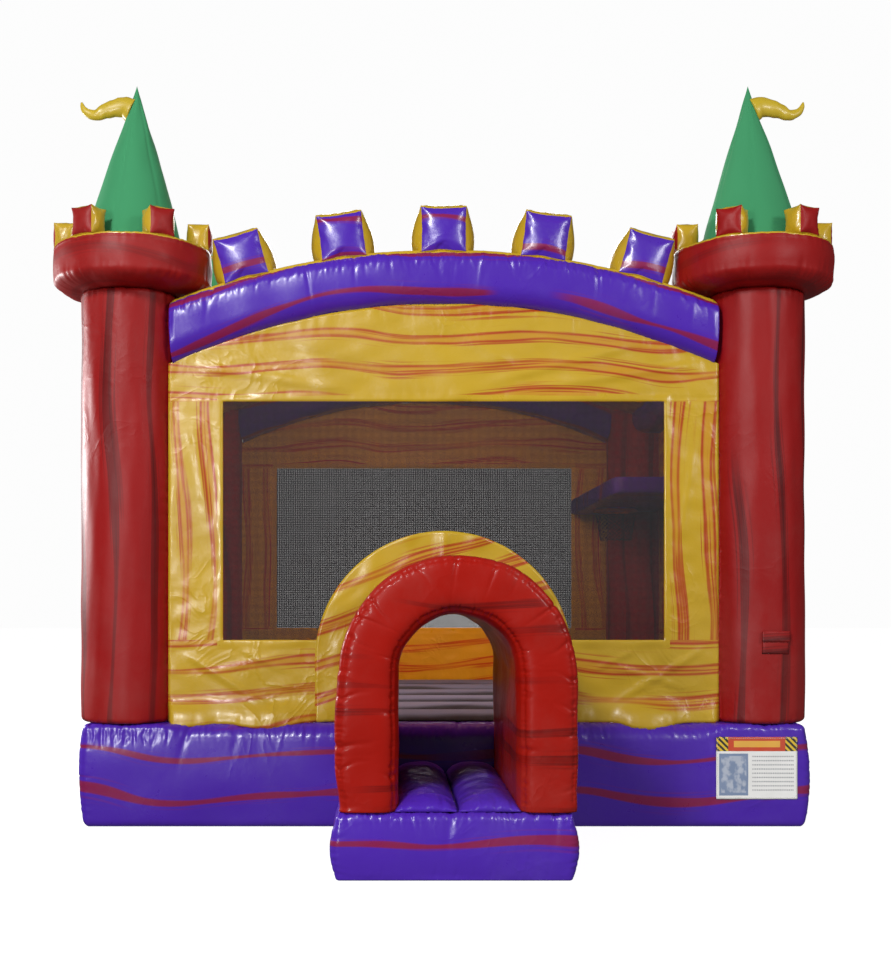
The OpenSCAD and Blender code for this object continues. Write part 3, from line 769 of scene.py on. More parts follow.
def stitch(name, lines, yarn):
    """Sews stitches along polylines, each a list of points."""
    verts, edges = [], []
    for line in lines:
        first = len(verts)
        verts.extend([tuple(map(float, p)) for p in line])
        edges.extend((first + i, first + i + 1) for i in range(len(line) - 1))
    mesh = bpy.data.meshes.new(name)
    mesh.from_pydata(verts, edges, [])
    obj = link_object(name, mesh)
    run_nodes(obj, stitch_tree(), {"Pitch": sizes().stitch_pitch, "Length": 0.008,
                                   "Thread": 0.0013, "Yarn": yarn})
    return seat(obj)


# ---------------------------------------------------------------- common forms

def spans(*breaks, step=0.02):
    """Grid lines through the given positions, no further apart than step."""
    lines = [np.linspace(a, b, max(2, math.ceil(abs(b - a) / step) + 1))[:-1]
             for a, b in zip(breaks, breaks[1:]) if abs(b - a) > 1e-9]
    return np.concatenate(lines + [[breaks[-1]]])


def run_length(points, axis):
    gaps = np.linalg.norm(np.diff(points, axis=axis), axis=-1)
    pad = [(0, 0), (0, 0)]
    pad[axis] = (1, 0)
    return np.pad(np.cumsum(gaps, axis=axis), pad)


def swell(points, height, core, wrap_u=False, wrap_v=False):
    """Moves a skin's points away from its core by a height, and keeps its joins together."""
    du, dv = np.gradient(points, axis=0), np.gradient(points, axis=1)
    if wrap_u:
        du[0] = du[-1] = (points[1] - points[-2]) / 2
    if wrap_v:
        dv[:, 0] = dv[:, -1] = (points[:, 1] - points[:, -2]) / 2
    n = np.cross(du, dv)
    n = n / np.maximum(np.linalg.norm(n, axis=-1, keepdims=True), 1e-12)
    side = 1.0 if np.sum(n * (points - core)) > 0 else -1.0
    height = height.copy()
    if wrap_u:
        height[-1] = height[0]
    if wrap_v:
        height[:, -1] = height[:, 0]
    out = points + n * (side * height)[..., None]
    if wrap_u:
        out[-1] = out[0]
    if wrap_v:
        out[:, -1] = out[:, 0]
    return out


def fan(ring, centre, steps=(1.0, 0.6, 0.25, 0.0)):
    """Closes a ring of points with a disc that runs to its centre."""
    centre = np.array(centre, float)
    return np.stack([centre + (ring - centre) * f for f in steps], axis=1)


def outline(half, corner, steps):
    """Samples of a rounded rectangle: its two corner signs, the share between them, and the outward way."""
    signs = np.array([(-1, -1), (1, -1), (1, 1), (-1, 1)], float)
    a, b, w, way = [], [], [], []
    for k in (2, 3, 0, 1):
        normal = -90.0 + 90.0 * k
        length = 2 * (half[0] if k % 2 == 0 else half[1]) - 2 * corner
        for t in np.linspace(0, 1, max(3, math.ceil(length / steps[k]) + 1)):
            a.append(signs[k]); b.append(signs[(k + 1) % 4]); w.append(t)
            way.append((math.cos(math.radians(normal)), math.sin(math.radians(normal))))
        for t in np.linspace(0, 1, 11)[1:-1]:
            turn = math.radians(normal + 90.0 * t)
            a.append(signs[(k + 1) % 4]); b.append(signs[(k + 1) % 4]); w.append(0.0)
            way.append((math.cos(turn), math.sin(turn)))
    rows = [np.array(x, float) for x in (a, b, w, way)]
    return [np.concatenate([x, x[:1]]) for x in rows]


def air_block(name, low, high, corner, roll_of, rng, steps, wall_step, tuck=0.016, foot=0.05,
              gather_spacing=0.028, gather_depth=0.0045, ripple_depth=0.004, bulge=0.008, low_row=0.035,
              calm=None, material=None):
    """A sewn, air-filled block whose upper edge rolls over, with short folds along its seams."""
    half = (high[:2] - low[:2]) / 2
    centre = (high[:2] + low[:2]) / 2
    top = float(high[2])
    a, b, w, way = outline(half, corner, steps)
    lerp = a + (b - a) * w[:, None]
    flat = lerp * (half - corner) + way * corner + centre
    roll = roll_of(flat[:, 0], flat[:, 1])
    along = np.concatenate([[0], np.cumsum(np.linalg.norm(np.diff(flat, axis=0), axis=1))])
    tuck = tuck * (0.25 + 0.75 * np.abs(way[:, 0]))
    inset, z = [], []
    for t in np.linspace(0, math.pi / 2, 6):
        inset.append(tuck + foot * (1 - math.sin(t)) + 0 * roll)
        z.append(foot * (1 - math.cos(t)) + 0 * roll)
    for u in np.linspace(0, 1, max(4, math.ceil(top / wall_step)))[1:-1]:
        inset.append(tuck * (2 * u - 1) ** 2 - bulge * (1 - (2 * u - 1) ** 2) + 0 * roll)
        z.append(foot + u * (top - foot - roll))
    seam = len(inset) + 9
    for t in np.linspace(0, math.pi / 2, 10):
        inset.append(tuck + roll * (1 - math.cos(t)))
        z.append(top - roll + roll * math.sin(t))
    for more in (0.02, 0.06, 0.12, 0.2):
        inset.append(tuck + roll + more)
        z.append(top + 0 * roll)
    inset, z = np.stack(inset, 1), np.stack(z, 1)
    stay = np.maximum(corner, inset)[..., None]
    xy = lerp[:, None, :] * (half - stay) + way[:, None, :] * np.maximum(corner - inset, 0)[..., None] + centre
    points = np.concatenate([xy, z[..., None]], axis=-1)
    down = run_length(points, 1)
    away = np.abs(down[:, seam][:, None] - down)
    height = ripple_depth * ripple(rng, along[:, None] + 0 * z, z, 0.55)
    gather(height, along, away, rng, gather_spacing, gather_depth, 0.07, 0.0085)
    gather(height, along, np.abs(away - low_row), rng, gather_spacing * 0.9, gather_depth * 1.4,
           0.042, 0.0075, 0.5)
    gather(height, along, away, rng, 0.33, gather_depth * 2.0, 0.17, 0.018)
    gather(height, along, down, rng, gather_spacing * 1.5, gather_depth * 0.8, 0.05, 0.009)
    turned = np.degrees(np.arctan2(way[:, 1], way[:, 0])) % 90.0
    for at in along[:-1][(np.abs(turned[:-1] - 45.0) < 4.6)]:
        gather(height.T, z.T, np.abs(along - at)[None, :] + 0 * z.T, rng, 0.03, gather_depth, 0.05, 0.007)
    height *= smooth((z - 0.004) / 0.03) * smooth((0.32 - inset) / 0.12)
    if calm is not None:
        low_side, high_side = calm
        near = np.maximum(np.maximum(low_side[0] - points[..., 0], points[..., 0] - high_side[0]),
                          np.maximum(low_side[2] - points[..., 2], points[..., 2] - high_side[2]))
        still = smooth(1 - near / 0.06) * (points[..., 1] < centre[1])
        height *= 1 - still
        points[..., 1] += still * np.clip(low_side[1] + 0.002 - points[..., 1], 0, None)
    core = np.array([*centre, top / 2])
    points = swell(points, height, core, wrap_u=True)
    points[..., 2] = np.clip(points[..., 2], 0.0, top)
    points[:, 0, 2] = 0.0
    maps = weave(along[:, None], np.minimum(z + inset, top))
    piece = Sewn().add(points, maps)
    piece.add(fan(points[:, 0], (*centre, 0.0)), weave(along[:, None], -np.arange(4.0)), flip=True)
    piece.add(fan(points[:, -1], (*centre, top)), weave(along[:, None], top + np.arange(4.0)))
    return piece.make(name, [material])


def lathe(rows, turns, centre):
    """A surface turned round an upright axis. rows are (radius, height) pairs, bottom first."""
    angle = np.linspace(0, math.tau, turns + 1)
    r, z = np.array(rows, float).T
    points = place(centre[0] + r * np.cos(angle)[:, None], centre[1] + r * np.sin(angle)[:, None],
                   z + 0 * angle[:, None])
    return angle, points


def box_shell(count, slots):
    """The six gridded faces of a cube from -1 to 1, as (points, map, slot)."""
    g = np.linspace(-1, 1, count)
    a, b = np.meshgrid(g, g, indexing="ij")
    one = np.ones_like(a)
    faces = [("front", (a, -one, b)), ("back", (-a, one, b)), ("right", (one, a, b)),
             ("left", (-one, -a, b)), ("top", (a, b, one)), ("bottom", (a, -b, -one))]
    return [(np.stack(p, -1), np.stack((a, b), -1), slots.get(name, 0)) for name, p in faces]


def pillow(cube, half, puff, pull, foot=0.0):
    """Bulges the faces of a cube and draws its edges in. A foot lets the sides stay wide at the bottom."""
    a, b, c = cube[..., 0], cube[..., 1], cube[..., 2]

    def side(own, one, two, half_size):
        free = one * two
        edge = one * (1 - two) + two * (1 - one)
        return half_size[0] * own + own * (half_size[1] * free ** 0.75 - pull * edge)

    across, through = 1 - a ** 2, 1 - b ** 2
    rise = c + foot
    upright = 1 - c ** 2
    if foot:
        upright = np.where(rise > 0, 1 - (rise / (1 + foot)) ** 2, 1 - foot * (rise / (1 - foot)) ** 2)
    sides = [side(a, through, upright, (half[0], puff[0])), side(b, across, upright, (half[1], puff[1])),
             side(c, across, through, (half[2], puff[2]))]
    return np.stack(sides, -1)


def ruffle(obj, depth, wave, rng, mask=None, count=24):
    """Crinkles a welded piece along its own normals."""
    mesh = obj.data
    n = len(mesh.vertices)
    co, nor = np.zeros(n * 3), np.zeros(n * 3)
    mesh.vertices.foreach_get("co", co)
    mesh.vertices.foreach_get("normal", nor)
    co, nor = co.reshape(-1, 3), nor.reshape(-1, 3)
    total = np.zeros(n)
    for _ in range(count):
        way = rng.normal(size=3)
        way /= np.linalg.norm(way)
        total += np.sin(co @ way * math.tau / wave * rng.uniform(0.6, 1.6) + rng.uniform(0, math.tau))
    total *= depth / math.sqrt(count)
    if mask is not None:
        total *= mask(co)
    mesh.vertices.foreach_set("co", (co + nor * total[:, None]).reshape(-1))
    mesh.update()
    return obj


def inflate(obj, pressure=4.0, cap=0.03, frames=20):
    """Fills a welded shell with air by cloth simulation, and keeps the shape it takes."""
    n = len(obj.data.vertices)
    start = np.zeros(n * 3)
    obj.data.vertices.foreach_get("co", start)
    cloth = obj.modifiers.new("air", "CLOTH")
    cloth.settings.quality = 6
    cloth.settings.mass = 0.25
    cloth.settings.tension_stiffness = 40
    cloth.settings.compression_stiffness = 40
    cloth.settings.shear_stiffness = 20
    cloth.settings.bending_stiffness = 0.6
    cloth.settings.use_pressure = True
    cloth.settings.uniform_pressure_force = pressure
    cloth.settings.effector_weights.gravity = 0.0
    cloth.point_cache.frame_start, cloth.point_cache.frame_end = 1, frames
    for frame_number in range(1, frames + 1):
        bpy.context.scene.frame_set(frame_number)
    apply_modifiers(obj)
    bpy.context.scene.frame_set(1)
    end = np.zeros(n * 3)
    obj.data.vertices.foreach_get("co", end)
    move = (end - start).reshape(-1, 3)
    if not np.isfinite(move).all():
        raise RuntimeError(f"{obj.name}: the air filling did not settle")
    far = np.linalg.norm(move, axis=1, keepdims=True)
    move *= np.minimum(1.0, cap / np.maximum(far, 1e-9))
    obj.data.vertices.foreach_set("co", (start.reshape(-1, 3) + move).reshape(-1))
    obj.data.update()
    return obj


def copies(name, source, moves, materials, shifts=None):
    """One mesh with a copy of a prototype at each move. shifts moves each copy's print."""
    joined = bmesh.new()
    for k, move in enumerate(moves):
        mesh = source.data.copy()
        mesh.transform(move)
        if shifts is not None:
            layer = mesh.uv_layers["print"].data
            chart = np.zeros(len(layer) * 2)
            layer.foreach_get("uv", chart)
            layer.foreach_set("uv", (chart.reshape(-1, 2) + shifts[k]).reshape(-1))
        joined.from_mesh(mesh)
        bpy.data.meshes.remove(mesh)
    mesh = bpy.data.meshes.new(name)
    joined.to_mesh(mesh)
    joined.free()
    for polygon in mesh.polygons:
        polygon.use_smooth = True
    for material in materials:
        mesh.materials.append(material)
    return link_object(name, mesh)


def remove_object(obj):
    mesh = obj.data
    bpy.data.objects.remove(obj)
    bpy.data.meshes.remove(mesh)


# ---------------------------------------------------------------- base, floor and step

def make_base():
    rng = np.random.default_rng(SEED)
    roll = sizes().bolster_roll

    def roll_of(x, y):
        front = smooth((BASE_LOW[1] + 0.25 - y) / 0.1) * smooth((1.78 - np.abs(x)) / 0.16)
        return 0.045 + (roll - 0.045) * front

    obj = air_block("base_bolster", BASE_LOW, BASE_HIGH, 0.055, roll_of, rng, (0.0088, 0.022, 0.022, 0.022),
                    0.015, low_row=0.10, calm=limits("rules_panel"), material=purple_vinyl(1.0, 0.202))
    seat(obj, "base_skin", slot="purple_vinyl")


def make_floor():
    rng = np.random.default_rng(SEED + 1)
    low, high = limits("jump_floor")
    ribs = 6
    pitch = (high[1] - low[1]) / ribs
    piece = Sewn()
    xs = spans(low[0], high[0], step=0.022)
    for k in range(ribs):
        y0 = low[1] + k * pitch + 0.002
        ys = np.linspace(y0, y0 + pitch - 0.004, 27)
        t = (ys - y0) / (pitch - 0.004) * 2 - 1
        crown = (1 - np.abs(t) ** 2.2) ** 0.8
        end = np.clip((high[0] - np.abs(xs)) / 0.09, 0, 1)
        end = np.sqrt(1 - (1 - end) ** 2)
        z = (high[2] - low[2] - 0.001) * crown * end[:, None]
        x, y = np.broadcast_arrays(xs[:, None], ys)
        height = np.zeros_like(z)
        edge = np.minimum(y - ys[0], ys[-1] - y)
        gather(height, xs, edge, rng, 0.05, 0.006, 0.07)
        z = np.maximum(z + height * smooth(z / 0.02), 0) + low[2]
        top = place(x, y, z)
        piece.add(top, weave(x, y))
        under = top[:, [0, -1]].copy()
        under[..., 2] = low[2]
        piece.add(np.stack([top[:, 0], under.mean(1) * [1, 1, 0] + [0, 0, low[2]], top[:, -1]], 1),
                  weave(xs[:, None], 0.0), flip=True)
        for i in (0, -1):
            flat_edge = top[i].copy()
            spine = flat_edge * [1, 0, 1] + [0, (ys[0] + ys[-1]) / 2, 0]
            piece.add(np.stack([flat_edge, spine], 1), weave(ys[:, None], 0.0), flip=i == 0)
    # The near-black bands, one rib pitch apart and lying along the joins between the ribs, are painted shade in the
    # valleys of the floor, not a print.
    obj = piece.make("jumping_floor", [vinyl(
        "floor_vinyl", colours().floor, (0.008, 0.008, 0.014), band_strength=0.95, gloss=0.5,
        coat=0.0, shine=0.04, Period=pitch, Band_Width=0.26, Softness=0.07, Wave_Height=0.004, Breaks=-0.1,
        Phase=pitch / 2 - float(low[1]) % pitch, Seed=2.0)])
    seat(obj, "jump_floor", slot="purple_vinyl")


def make_step():
    rng = np.random.default_rng(SEED + 2)
    lean = np.array((-0.021, 0.0, 0.0))
    thin = np.array((0.003, 0.0, 0.0))
    obj = air_block("entry_step", STEP_LOW + lean + thin, STEP_HIGH + lean - thin, 0.042,
                    lambda x, y: 0.05 + 0 * x, rng, (0.0065, 0.014, 0.03, 0.014), 0.01, tuck=0.020, foot=0.012, gather_depth=0.004,
                    ripple_depth=0.003, material=purple_vinyl(1.0, 0.07))
    seat(obj, "step_skin", slot="purple_vinyl")
    low, high = limits("step_pads")
    half = (high[0] - low[0]) / 4 - 0.002
    length = (high[1] - low[1]) / 2
    piece = Sewn()
    for side in (-1, 1):
        ys = spans(low[1], high[1], step=0.011)
        t = np.linspace(-1, 1, 40)
        x = side * (half + 0.002) + half * t
        end = np.clip(np.minimum((ys - low[1]) / 0.24, (high[1] - ys) / 0.1), 0, 1)
        end = np.sqrt(1 - (1 - end) ** 2)[:, None]
        z = (high[2] - low[2]) * (1 - np.abs(t) ** 2.3) ** 0.62 * end
        height = 0.003 * ripple(rng, x + 0 * z, ys[:, None] + 0 * z, 0.22)
        inner = (half * (1 + side * t)) + 0 * z
        gather(height, ys, inner, rng, 0.035, 0.006, 0.06, 0.011)
        gather(height.T, x[None, :].T + 0 * z.T, (ys - low[1])[None, :] + 0 * z.T, rng,
               0.03, 0.008, 0.09, 0.009)
        z = np.maximum(z + height * smooth(z / 0.02), 0)
        top = place(x, ys[:, None], low[2] + z)
        flat = top * [1, 1, 0] + [0, 0, low[2]]
        piece.add(top, weave(ys[:, None], x)).add(flat, weave(ys[:, None], x), flip=True)
    pads = piece.make("step_pads_sewn", [plain_purple()])
    seat(pads, "step_pads", slot="purple_vinyl")


def make_tunnel():
    rng = np.random.default_rng(SEED + 3)
    y0, y1 = float(TUNNEL_LOW[1]), float(TUNNEL_HIGH[1])
    front = float(BASE_LOW[1])
    half = (TUNNEL_OUTER - TUNNEL_INNER) / 2
    mid = (TUNNEL_OUTER + TUNNEL_INNER) / 2
    roll = 0.08
    ys = spans(y1 - 0.03, front + 0.001, front - 0.003, y0 + roll, step=0.032)
    face = np.linspace(0, math.pi, 34)
    bend = 0.6
    section = [(half, y) for y in ys]
    section += [(half * math.copysign(abs(math.cos(t)) ** bend, math.cos(t)),
                 y0 + roll - roll * math.sin(t) ** bend) for t in face[1:-1]]
    section += [(-half, y) for y in ys[::-1]]
    section += [(-half * math.cos(t), y1 - 0.03 + 0.03 * math.sin(t)) for t in np.linspace(0, math.pi, 9)[1:]]
    rho, y = np.array(section).T
    bulge = smooth((y - y0) / 0.14) * smooth((y1 - y) / 0.2)
    rho = np.where(rho < -half * 0.98, rho - 0.029 * bulge, rho)
    low_z = np.where(y > front - 0.002, BASE_HIGH[2] + 0.001, STEP_HIGH[2] + 0.001)
    leg = np.linspace(0, 1, 90)
    arc = np.linspace(math.pi, 0, 214)[1:-1]
    radius = mid + rho
    rise = low_z + leg[:, None] * (TUNNEL_SPRING - low_z)
    full = smooth((rise - low_z) / 0.25) * smooth((TUNNEL_SPRING + 0.15 - rise) / 0.5) * (rho > 0)
    left = place(-radius - 0.024 * full, y, rise)
    right = place(radius + 0.006 * full, y, rise)[::-1]
    over = place(radius * np.cos(arc)[:, None], y, TUNNEL_SPRING + radius * np.sin(arc)[:, None])
    points = np.concatenate([left, over, right])
    core_over = place(mid * np.cos(arc)[:, None] + 0 * rho, y,
                      TUNNEL_SPRING + mid * np.sin(arc)[:, None] + 0 * rho)
    core = np.concatenate([place(-mid + 0 * rho, y, rise), core_over,
                           place(mid + 0 * rho, y, rise)[::-1]])
    along = run_length(points, 0)[:, len(ys) + 4]
    across = run_length(points[190:191], 1)[0]
    outer_seam = across[len(ys) + 7]
    inner_seam = across[len(ys) + 28]
    height = 0.004 * ripple(rng, along[:, None] + 0 * across, across + 0 * along[:, None], 0.45)
    outer_away = np.abs(across - outer_seam) + 0 * along[:, None]
    inner_away = np.abs(across - inner_seam) + 0 * along[:, None]
    gather(height, along, outer_away, rng, 0.019, 0.0068, 0.020, 0.0055)
    gather(height, along, outer_away, rng, 0.2, 0.008, 0.12, 0.009, 0.6)
    gather(height, along, inner_away, rng, 0.019, 0.0068, 0.018, 0.0055)
    gather(height, along, inner_away, rng, 0.3, 0.007, 0.09, 0.009, 0.6)
    height -= 0.003 * np.exp(-(outer_away / 0.008) ** 2) + 0.003 * np.exp(-(inner_away / 0.008) ** 2)
    low_end = np.minimum(np.arange(len(points)), np.arange(len(points))[::-1])[:, None]
    height = height * smooth(low_end / 4.0)
    points = swell(points, height, core, wrap_v=True)
    maps = weave(points[..., 0] + points[..., 1] * 0.6, points[..., 2])
    piece = Sewn().add(points, maps)
    for row in (0, -1):
        spine = points[row].copy()
        spine[:, 0] = math.copysign(mid, spine[0, 0])
        piece.add(np.stack([points[row], spine], 1), maps[row][:, None], flip=row == 0)
    obj = piece.make("entry_tunnel", [tunnel_red()])
    seat(obj, "entry_arch", slot="red_vinyl")


def make_surround():
    rng = np.random.default_rng(SEED + 4)
    low, high = limits("door_surround")
    outer, inner = float(high[0]) - 0.004, TUNNEL_INNER + 0.002
    leg = np.linspace(0, 1, 22)
    arc = np.linspace(math.pi, 0, 120)[1:-1]
    radius = np.linspace(inner, outer, 26)
    z = low[2] + 0.002 + leg[:, None] * (TUNNEL_SPRING - low[2] - 0.002) + 0 * radius
    x = np.concatenate([-radius + 0 * z, radius * np.cos(arc)[:, None], (radius + 0 * z)[::-1]])
    zz = np.concatenate([z, TUNNEL_SPRING + radius * np.sin(arc)[:, None], z[::-1]])
    y = middle("door_surround")[1] + 0 * x
    free = smooth((radius - TUNNEL_OUTER) / 0.06) + 0 * x
    wave = 0.006 * ripple(rng, x, zz, 0.3) + 0.004
    wave = crease(wave, x, zz, (0.0, 1.62), (0.012, 1.9), 0.012, 0.012)
    wave = crease(wave, x, zz, (-0.8, 1.35), (-0.45, 1.62), 0.02, 0.010)
    wave = crease(wave, x, zz, (0.78, 1.4), (0.5, 1.58), 0.016, 0.010)
    y = y - np.maximum(wave, 0) * free
    piece = Sewn().add(place(x, y, zz), weave(x + zz * 0.45, zz * 0.9 - x * 0.3))
    obj = piece.make("door_surround_cloth", [yellow_vinyl(4.0, 0.05)], closed=False, thickness=sizes().sheet_thickness)
    seat(obj, "door_surround", slot="yellow_vinyl")


# ---------------------------------------------------------------- turrets

def make_columns():
    for k, (corner, spot) in enumerate(COLUMNS.items()):
        rng = np.random.default_rng(SEED + 10 + k)
        low, high = limits(f"column_{corner}")
        bottom, top, r = float(low[2]), float(high[2]), COLUMN_R
        rows = [(0.0, bottom), (r - 0.03, bottom)]
        rows += [(r - 0.03 + 0.03 * math.sin(t), bottom + 0.03 * (1 - math.cos(t)))
                 for t in np.linspace(0.2, math.pi / 2, 6)]
        rows += [(r, z) for z in spans(bottom + 0.03, top - 0.012, step=0.0175)[1:]]
        rows += [(r - 0.012, top), (0.0, top)]
        angle, points = lathe(rows, 132, spot)
        z = points[..., 2]
        side_x, side_y = (-1 if "left" in corner else 1), (-1 if "front" in corner else 1)
        seams = [math.atan2(side_y * 0.15, -side_x * 0.271), math.atan2(-side_y * 0.288, side_x * 0.115)]
        height = 0.0025 * ripple(rng, np.cos(angle)[:, None] * r + 0 * z, z, 0.7)
        height = height + 0.0018 * ripple(rng, (angle * r)[:, None] + 0 * z, z * 0.22, 0.16)
        for at in seams:
            away = np.abs((angle - at + math.pi) % math.tau - math.pi) * r
            away = away[:, None] + 0 * z
            gather(height.T, z.T, away.T, rng, 0.05, 0.006, 0.055, 0.010)
            height -= 0.005 * np.exp(-(away / 0.012) ** 2)
        along = (angle * r)[:, None] + 0 * z
        gather(height, along, np.abs(z - bottom - 0.02), rng, 0.05, 0.004, 0.05, 0.011)
        gather(height, along, np.abs(top - z), rng, 0.045, 0.005, 0.07, 0.011)
        height[-1] = height[0]
        free = np.array([row[0] > r - 0.02 for row in rows])
        points = swell(points, height * free, np.array([*spot, (bottom + top) / 2]), wrap_u=True)
        points[..., 2] = np.clip(points[..., 2], bottom, top)
        obj = Sewn().add(points, weave(z * 0.55, along + 0.13 * k)).make(
            f"column_{corner}_sewn", [red_vinyl(5.0 + k, 0.05)])
        seat(obj, f"column_{corner}", slot="red_vinyl")


def make_caps():
    for k, (corner, spot) in enumerate(TURRETS.items()):
        rng = np.random.default_rng(SEED + 20 + k)
        low, high = limits(f"cap_{corner}")
        z0, z1, r = float(low[2]), float(high[2]), CAP_R
        belly, rim = 0.082, 0.03
        rows = [(0.0, z0), (COLUMN_R, z0)]
        rows += [(COLUMN_R + (r - COLUMN_R) * math.sin(t), z0 + belly * (1 - math.cos(t)))
                 for t in np.linspace(0, math.pi / 2, 16)[1:]]
        lower = len(rows) - 1
        rows += [(r + 0.004 - 0.006 * ((z - z0 - belly) / (z1 - rim - z0 - belly) * 2 - 1) ** 2, z)
                 for z in np.linspace(z0 + belly, z1 - rim, 13)[1:]]
        rows += [(r - rim * (1 - math.cos(t)), z1 - rim + rim * math.sin(t))
                 for t in np.linspace(0, math.pi / 2, 13)[1:]]
        upper = len(rows) - 9
        rows += [(f * (r - rim), z1) for f in (0.9, 0.7, 0.4, 0.0)]
        angle, points = lathe(rows, 220, spot)
        z = points[..., 2]
        along = (angle * r)[:, None] + 0 * z
        down = run_length(points, 1)
        height = 0.003 * ripple(rng, along, z, 0.3)
        gather(height, along, np.abs(down - down[:, lower - 4][:, None]), rng, 0.034, 0.0065, 0.06, 0.010, 0.15)
        gather(height, along, np.abs(down - down[:, upper][:, None]), rng, 0.046, 0.005, 0.045, 0.010)
        height += 0.006 * np.exp(-((down - down[:, upper + 2][:, None]) / 0.007) ** 2)
        height[-1] = height[0]
        free = np.array([0.25 < row[0] and row[1] < z1 - 0.001 for row in rows])
        points = swell(points, height * free, np.array([*spot, (z0 + z1) / 2]), wrap_u=True)
        points[..., 2] = np.clip(points[..., 2], z0, z1)
        slot = np.zeros((len(angle) - 1, len(rows) - 1), int)
        slot[:, upper:] = 1
        obj = Sewn().add(points, weave(along, down), slot).make(
            f"cap_{corner}_sewn", [red_vinyl(9.0 + k, 0.02, 0.22), plain_yellow()])
        seat(obj, f"cap_{corner}", slot="red_vinyl")


def turn_matrix(angle, axis):
    return Matrix.Rotation(angle, 4, axis)


def shift_matrix(x, y, z):
    return Matrix.Translation((float(x), float(y), float(z)))


def make_turret_merlons():
    rng = np.random.default_rng(SEED + 30)
    width, depth, tall = 0.15, 0.128, 0.17
    piece = Sewn()
    materials = [plain_yellow(), red_vinyl(14.0, 0.0)]
    for cube, chart, slot in box_shell(17, {"right": 1}):
        half = (depth / 2 + 0.004, width / 2 + 0.006, tall / 2 + 0.002)
        shape = pillow(cube, half, (0.012, 0.016, 0.012), 0.005)
        piece.add(shape, chart * 0.08, slot)
    pattern = piece.make("merlon_pattern_small", materials)
    inflate(pattern, 5.0, 0.010, 20)
    ruffle(pattern, 0.0010, 0.045, rng)
    for corner, spot in TURRETS.items():
        side = -1 if "left" in corner else 1
        low, high = limits(f"cap_merlons_{corner}")
        moves = []
        for i in range(6):
            angle = math.radians(-side * (TURRET_MERLON_TURN + 60 * i))
            out = CAP_R - 0.012 - depth / 2
            moves.append(shift_matrix(spot[0], spot[1], low[2] + tall / 2 - 0.002)
                         @ turn_matrix(angle, "Z") @ shift_matrix(out, 0, 0))
        obj = copies(f"turret_merlons_{corner}", pattern, moves, materials)
        seat(obj, f"cap_merlons_{corner}", slot="red_vinyl")
    remove_object(pattern)


def make_spires():
    for k, (corner, spot) in enumerate(TURRETS.items()):
        rng = np.random.default_rng(SEED + 40 + k)
        side = -1 if "left" in corner else 1
        base, foot, tall, lean = float(CAP_HIGH[2]), 0.328, 1.09, -side * math.radians(1.2)
        h = np.concatenate([spans(0.0, 0.06, step=0.01), spans(0.06, tall, step=0.02)[1:]])
        r = foot * (1 - h / tall) * (1 + 0.05 * np.sin(math.pi * h / tall))
        r = r * (1 - 0.05 * np.exp(-(h / 0.03) ** 2))
        rows = [(0.0, 0.0), *zip(r, h)]
        angle, local = lathe(rows, 120, (0.0, 0.0))
        z = local[..., 2]
        along = (angle * foot)[:, None] + 0 * z
        height = 0.003 * ripple(rng, along, z, 0.4)
        local_radius = np.array([row[0] for row in rows])
        for seam in range(6):
            turned = (angle - math.tau * (seam + 0.3) / 6 + math.pi) % math.tau - math.pi
            away = np.abs(turned)[:, None] * local_radius
            height = height - 0.004 * np.exp(-(away / 0.01) ** 2)
        gather(height, along, z, rng, 0.05, 0.006, 0.06, 0.012)
        height[-1] = height[0]
        height *= smooth(local_radius / 0.05)
        local = swell(local, height, np.array([0, 0, 0.3]), wrap_u=True)
        x = local[..., 0] * math.cos(lean) + local[..., 2] * math.sin(lean)
        zz = -local[..., 0] * math.sin(lean) + local[..., 2] * math.cos(lean)
        points = place(spot[0] + x, spot[1] + local[..., 1], np.maximum(base + zz, base + 0.001))
        obj = Sewn().add(points, weave(along, z)).make(f"spire_{corner}_sewn", [green_vinyl()])
        seat(obj, f"spire_{corner}", slot="green_vinyl")


# A flag's middle line, out from the spire and up, and its radius at the same places.
FLAG_LINE = [(0.030, 0.0), (0.090, 0.022), (0.191, 0.002), (0.258, -0.028), (0.314, -0.017),
             (0.346, 0.013), (0.359, 0.053)]
FLAG_RADIUS = [0.080, 0.065, 0.050, 0.037, 0.028, 0.020, 0.006]


def smooth_line(values, count):
    """A smooth curve through the given values, with count points."""
    values = np.array(values, float)
    ends = np.concatenate([values[:1] * 2 - values[1:2], values, values[-1:] * 2 - values[-2:-1]])
    at = np.linspace(0, len(values) - 1.0001, count)
    i = at.astype(int)
    t = (at - i).reshape(-1, *([1] * (values.ndim - 1)))
    p0, p1, p2, p3 = ends[i], ends[i + 1], ends[i + 2], ends[i + 3]
    return 0.5 * (2 * p1 + (p2 - p0) * t + (2 * p0 - 5 * p1 + 4 * p2 - p3) * t ** 2
                  + (3 * p1 - p0 - 3 * p2 + p3) * t ** 3)


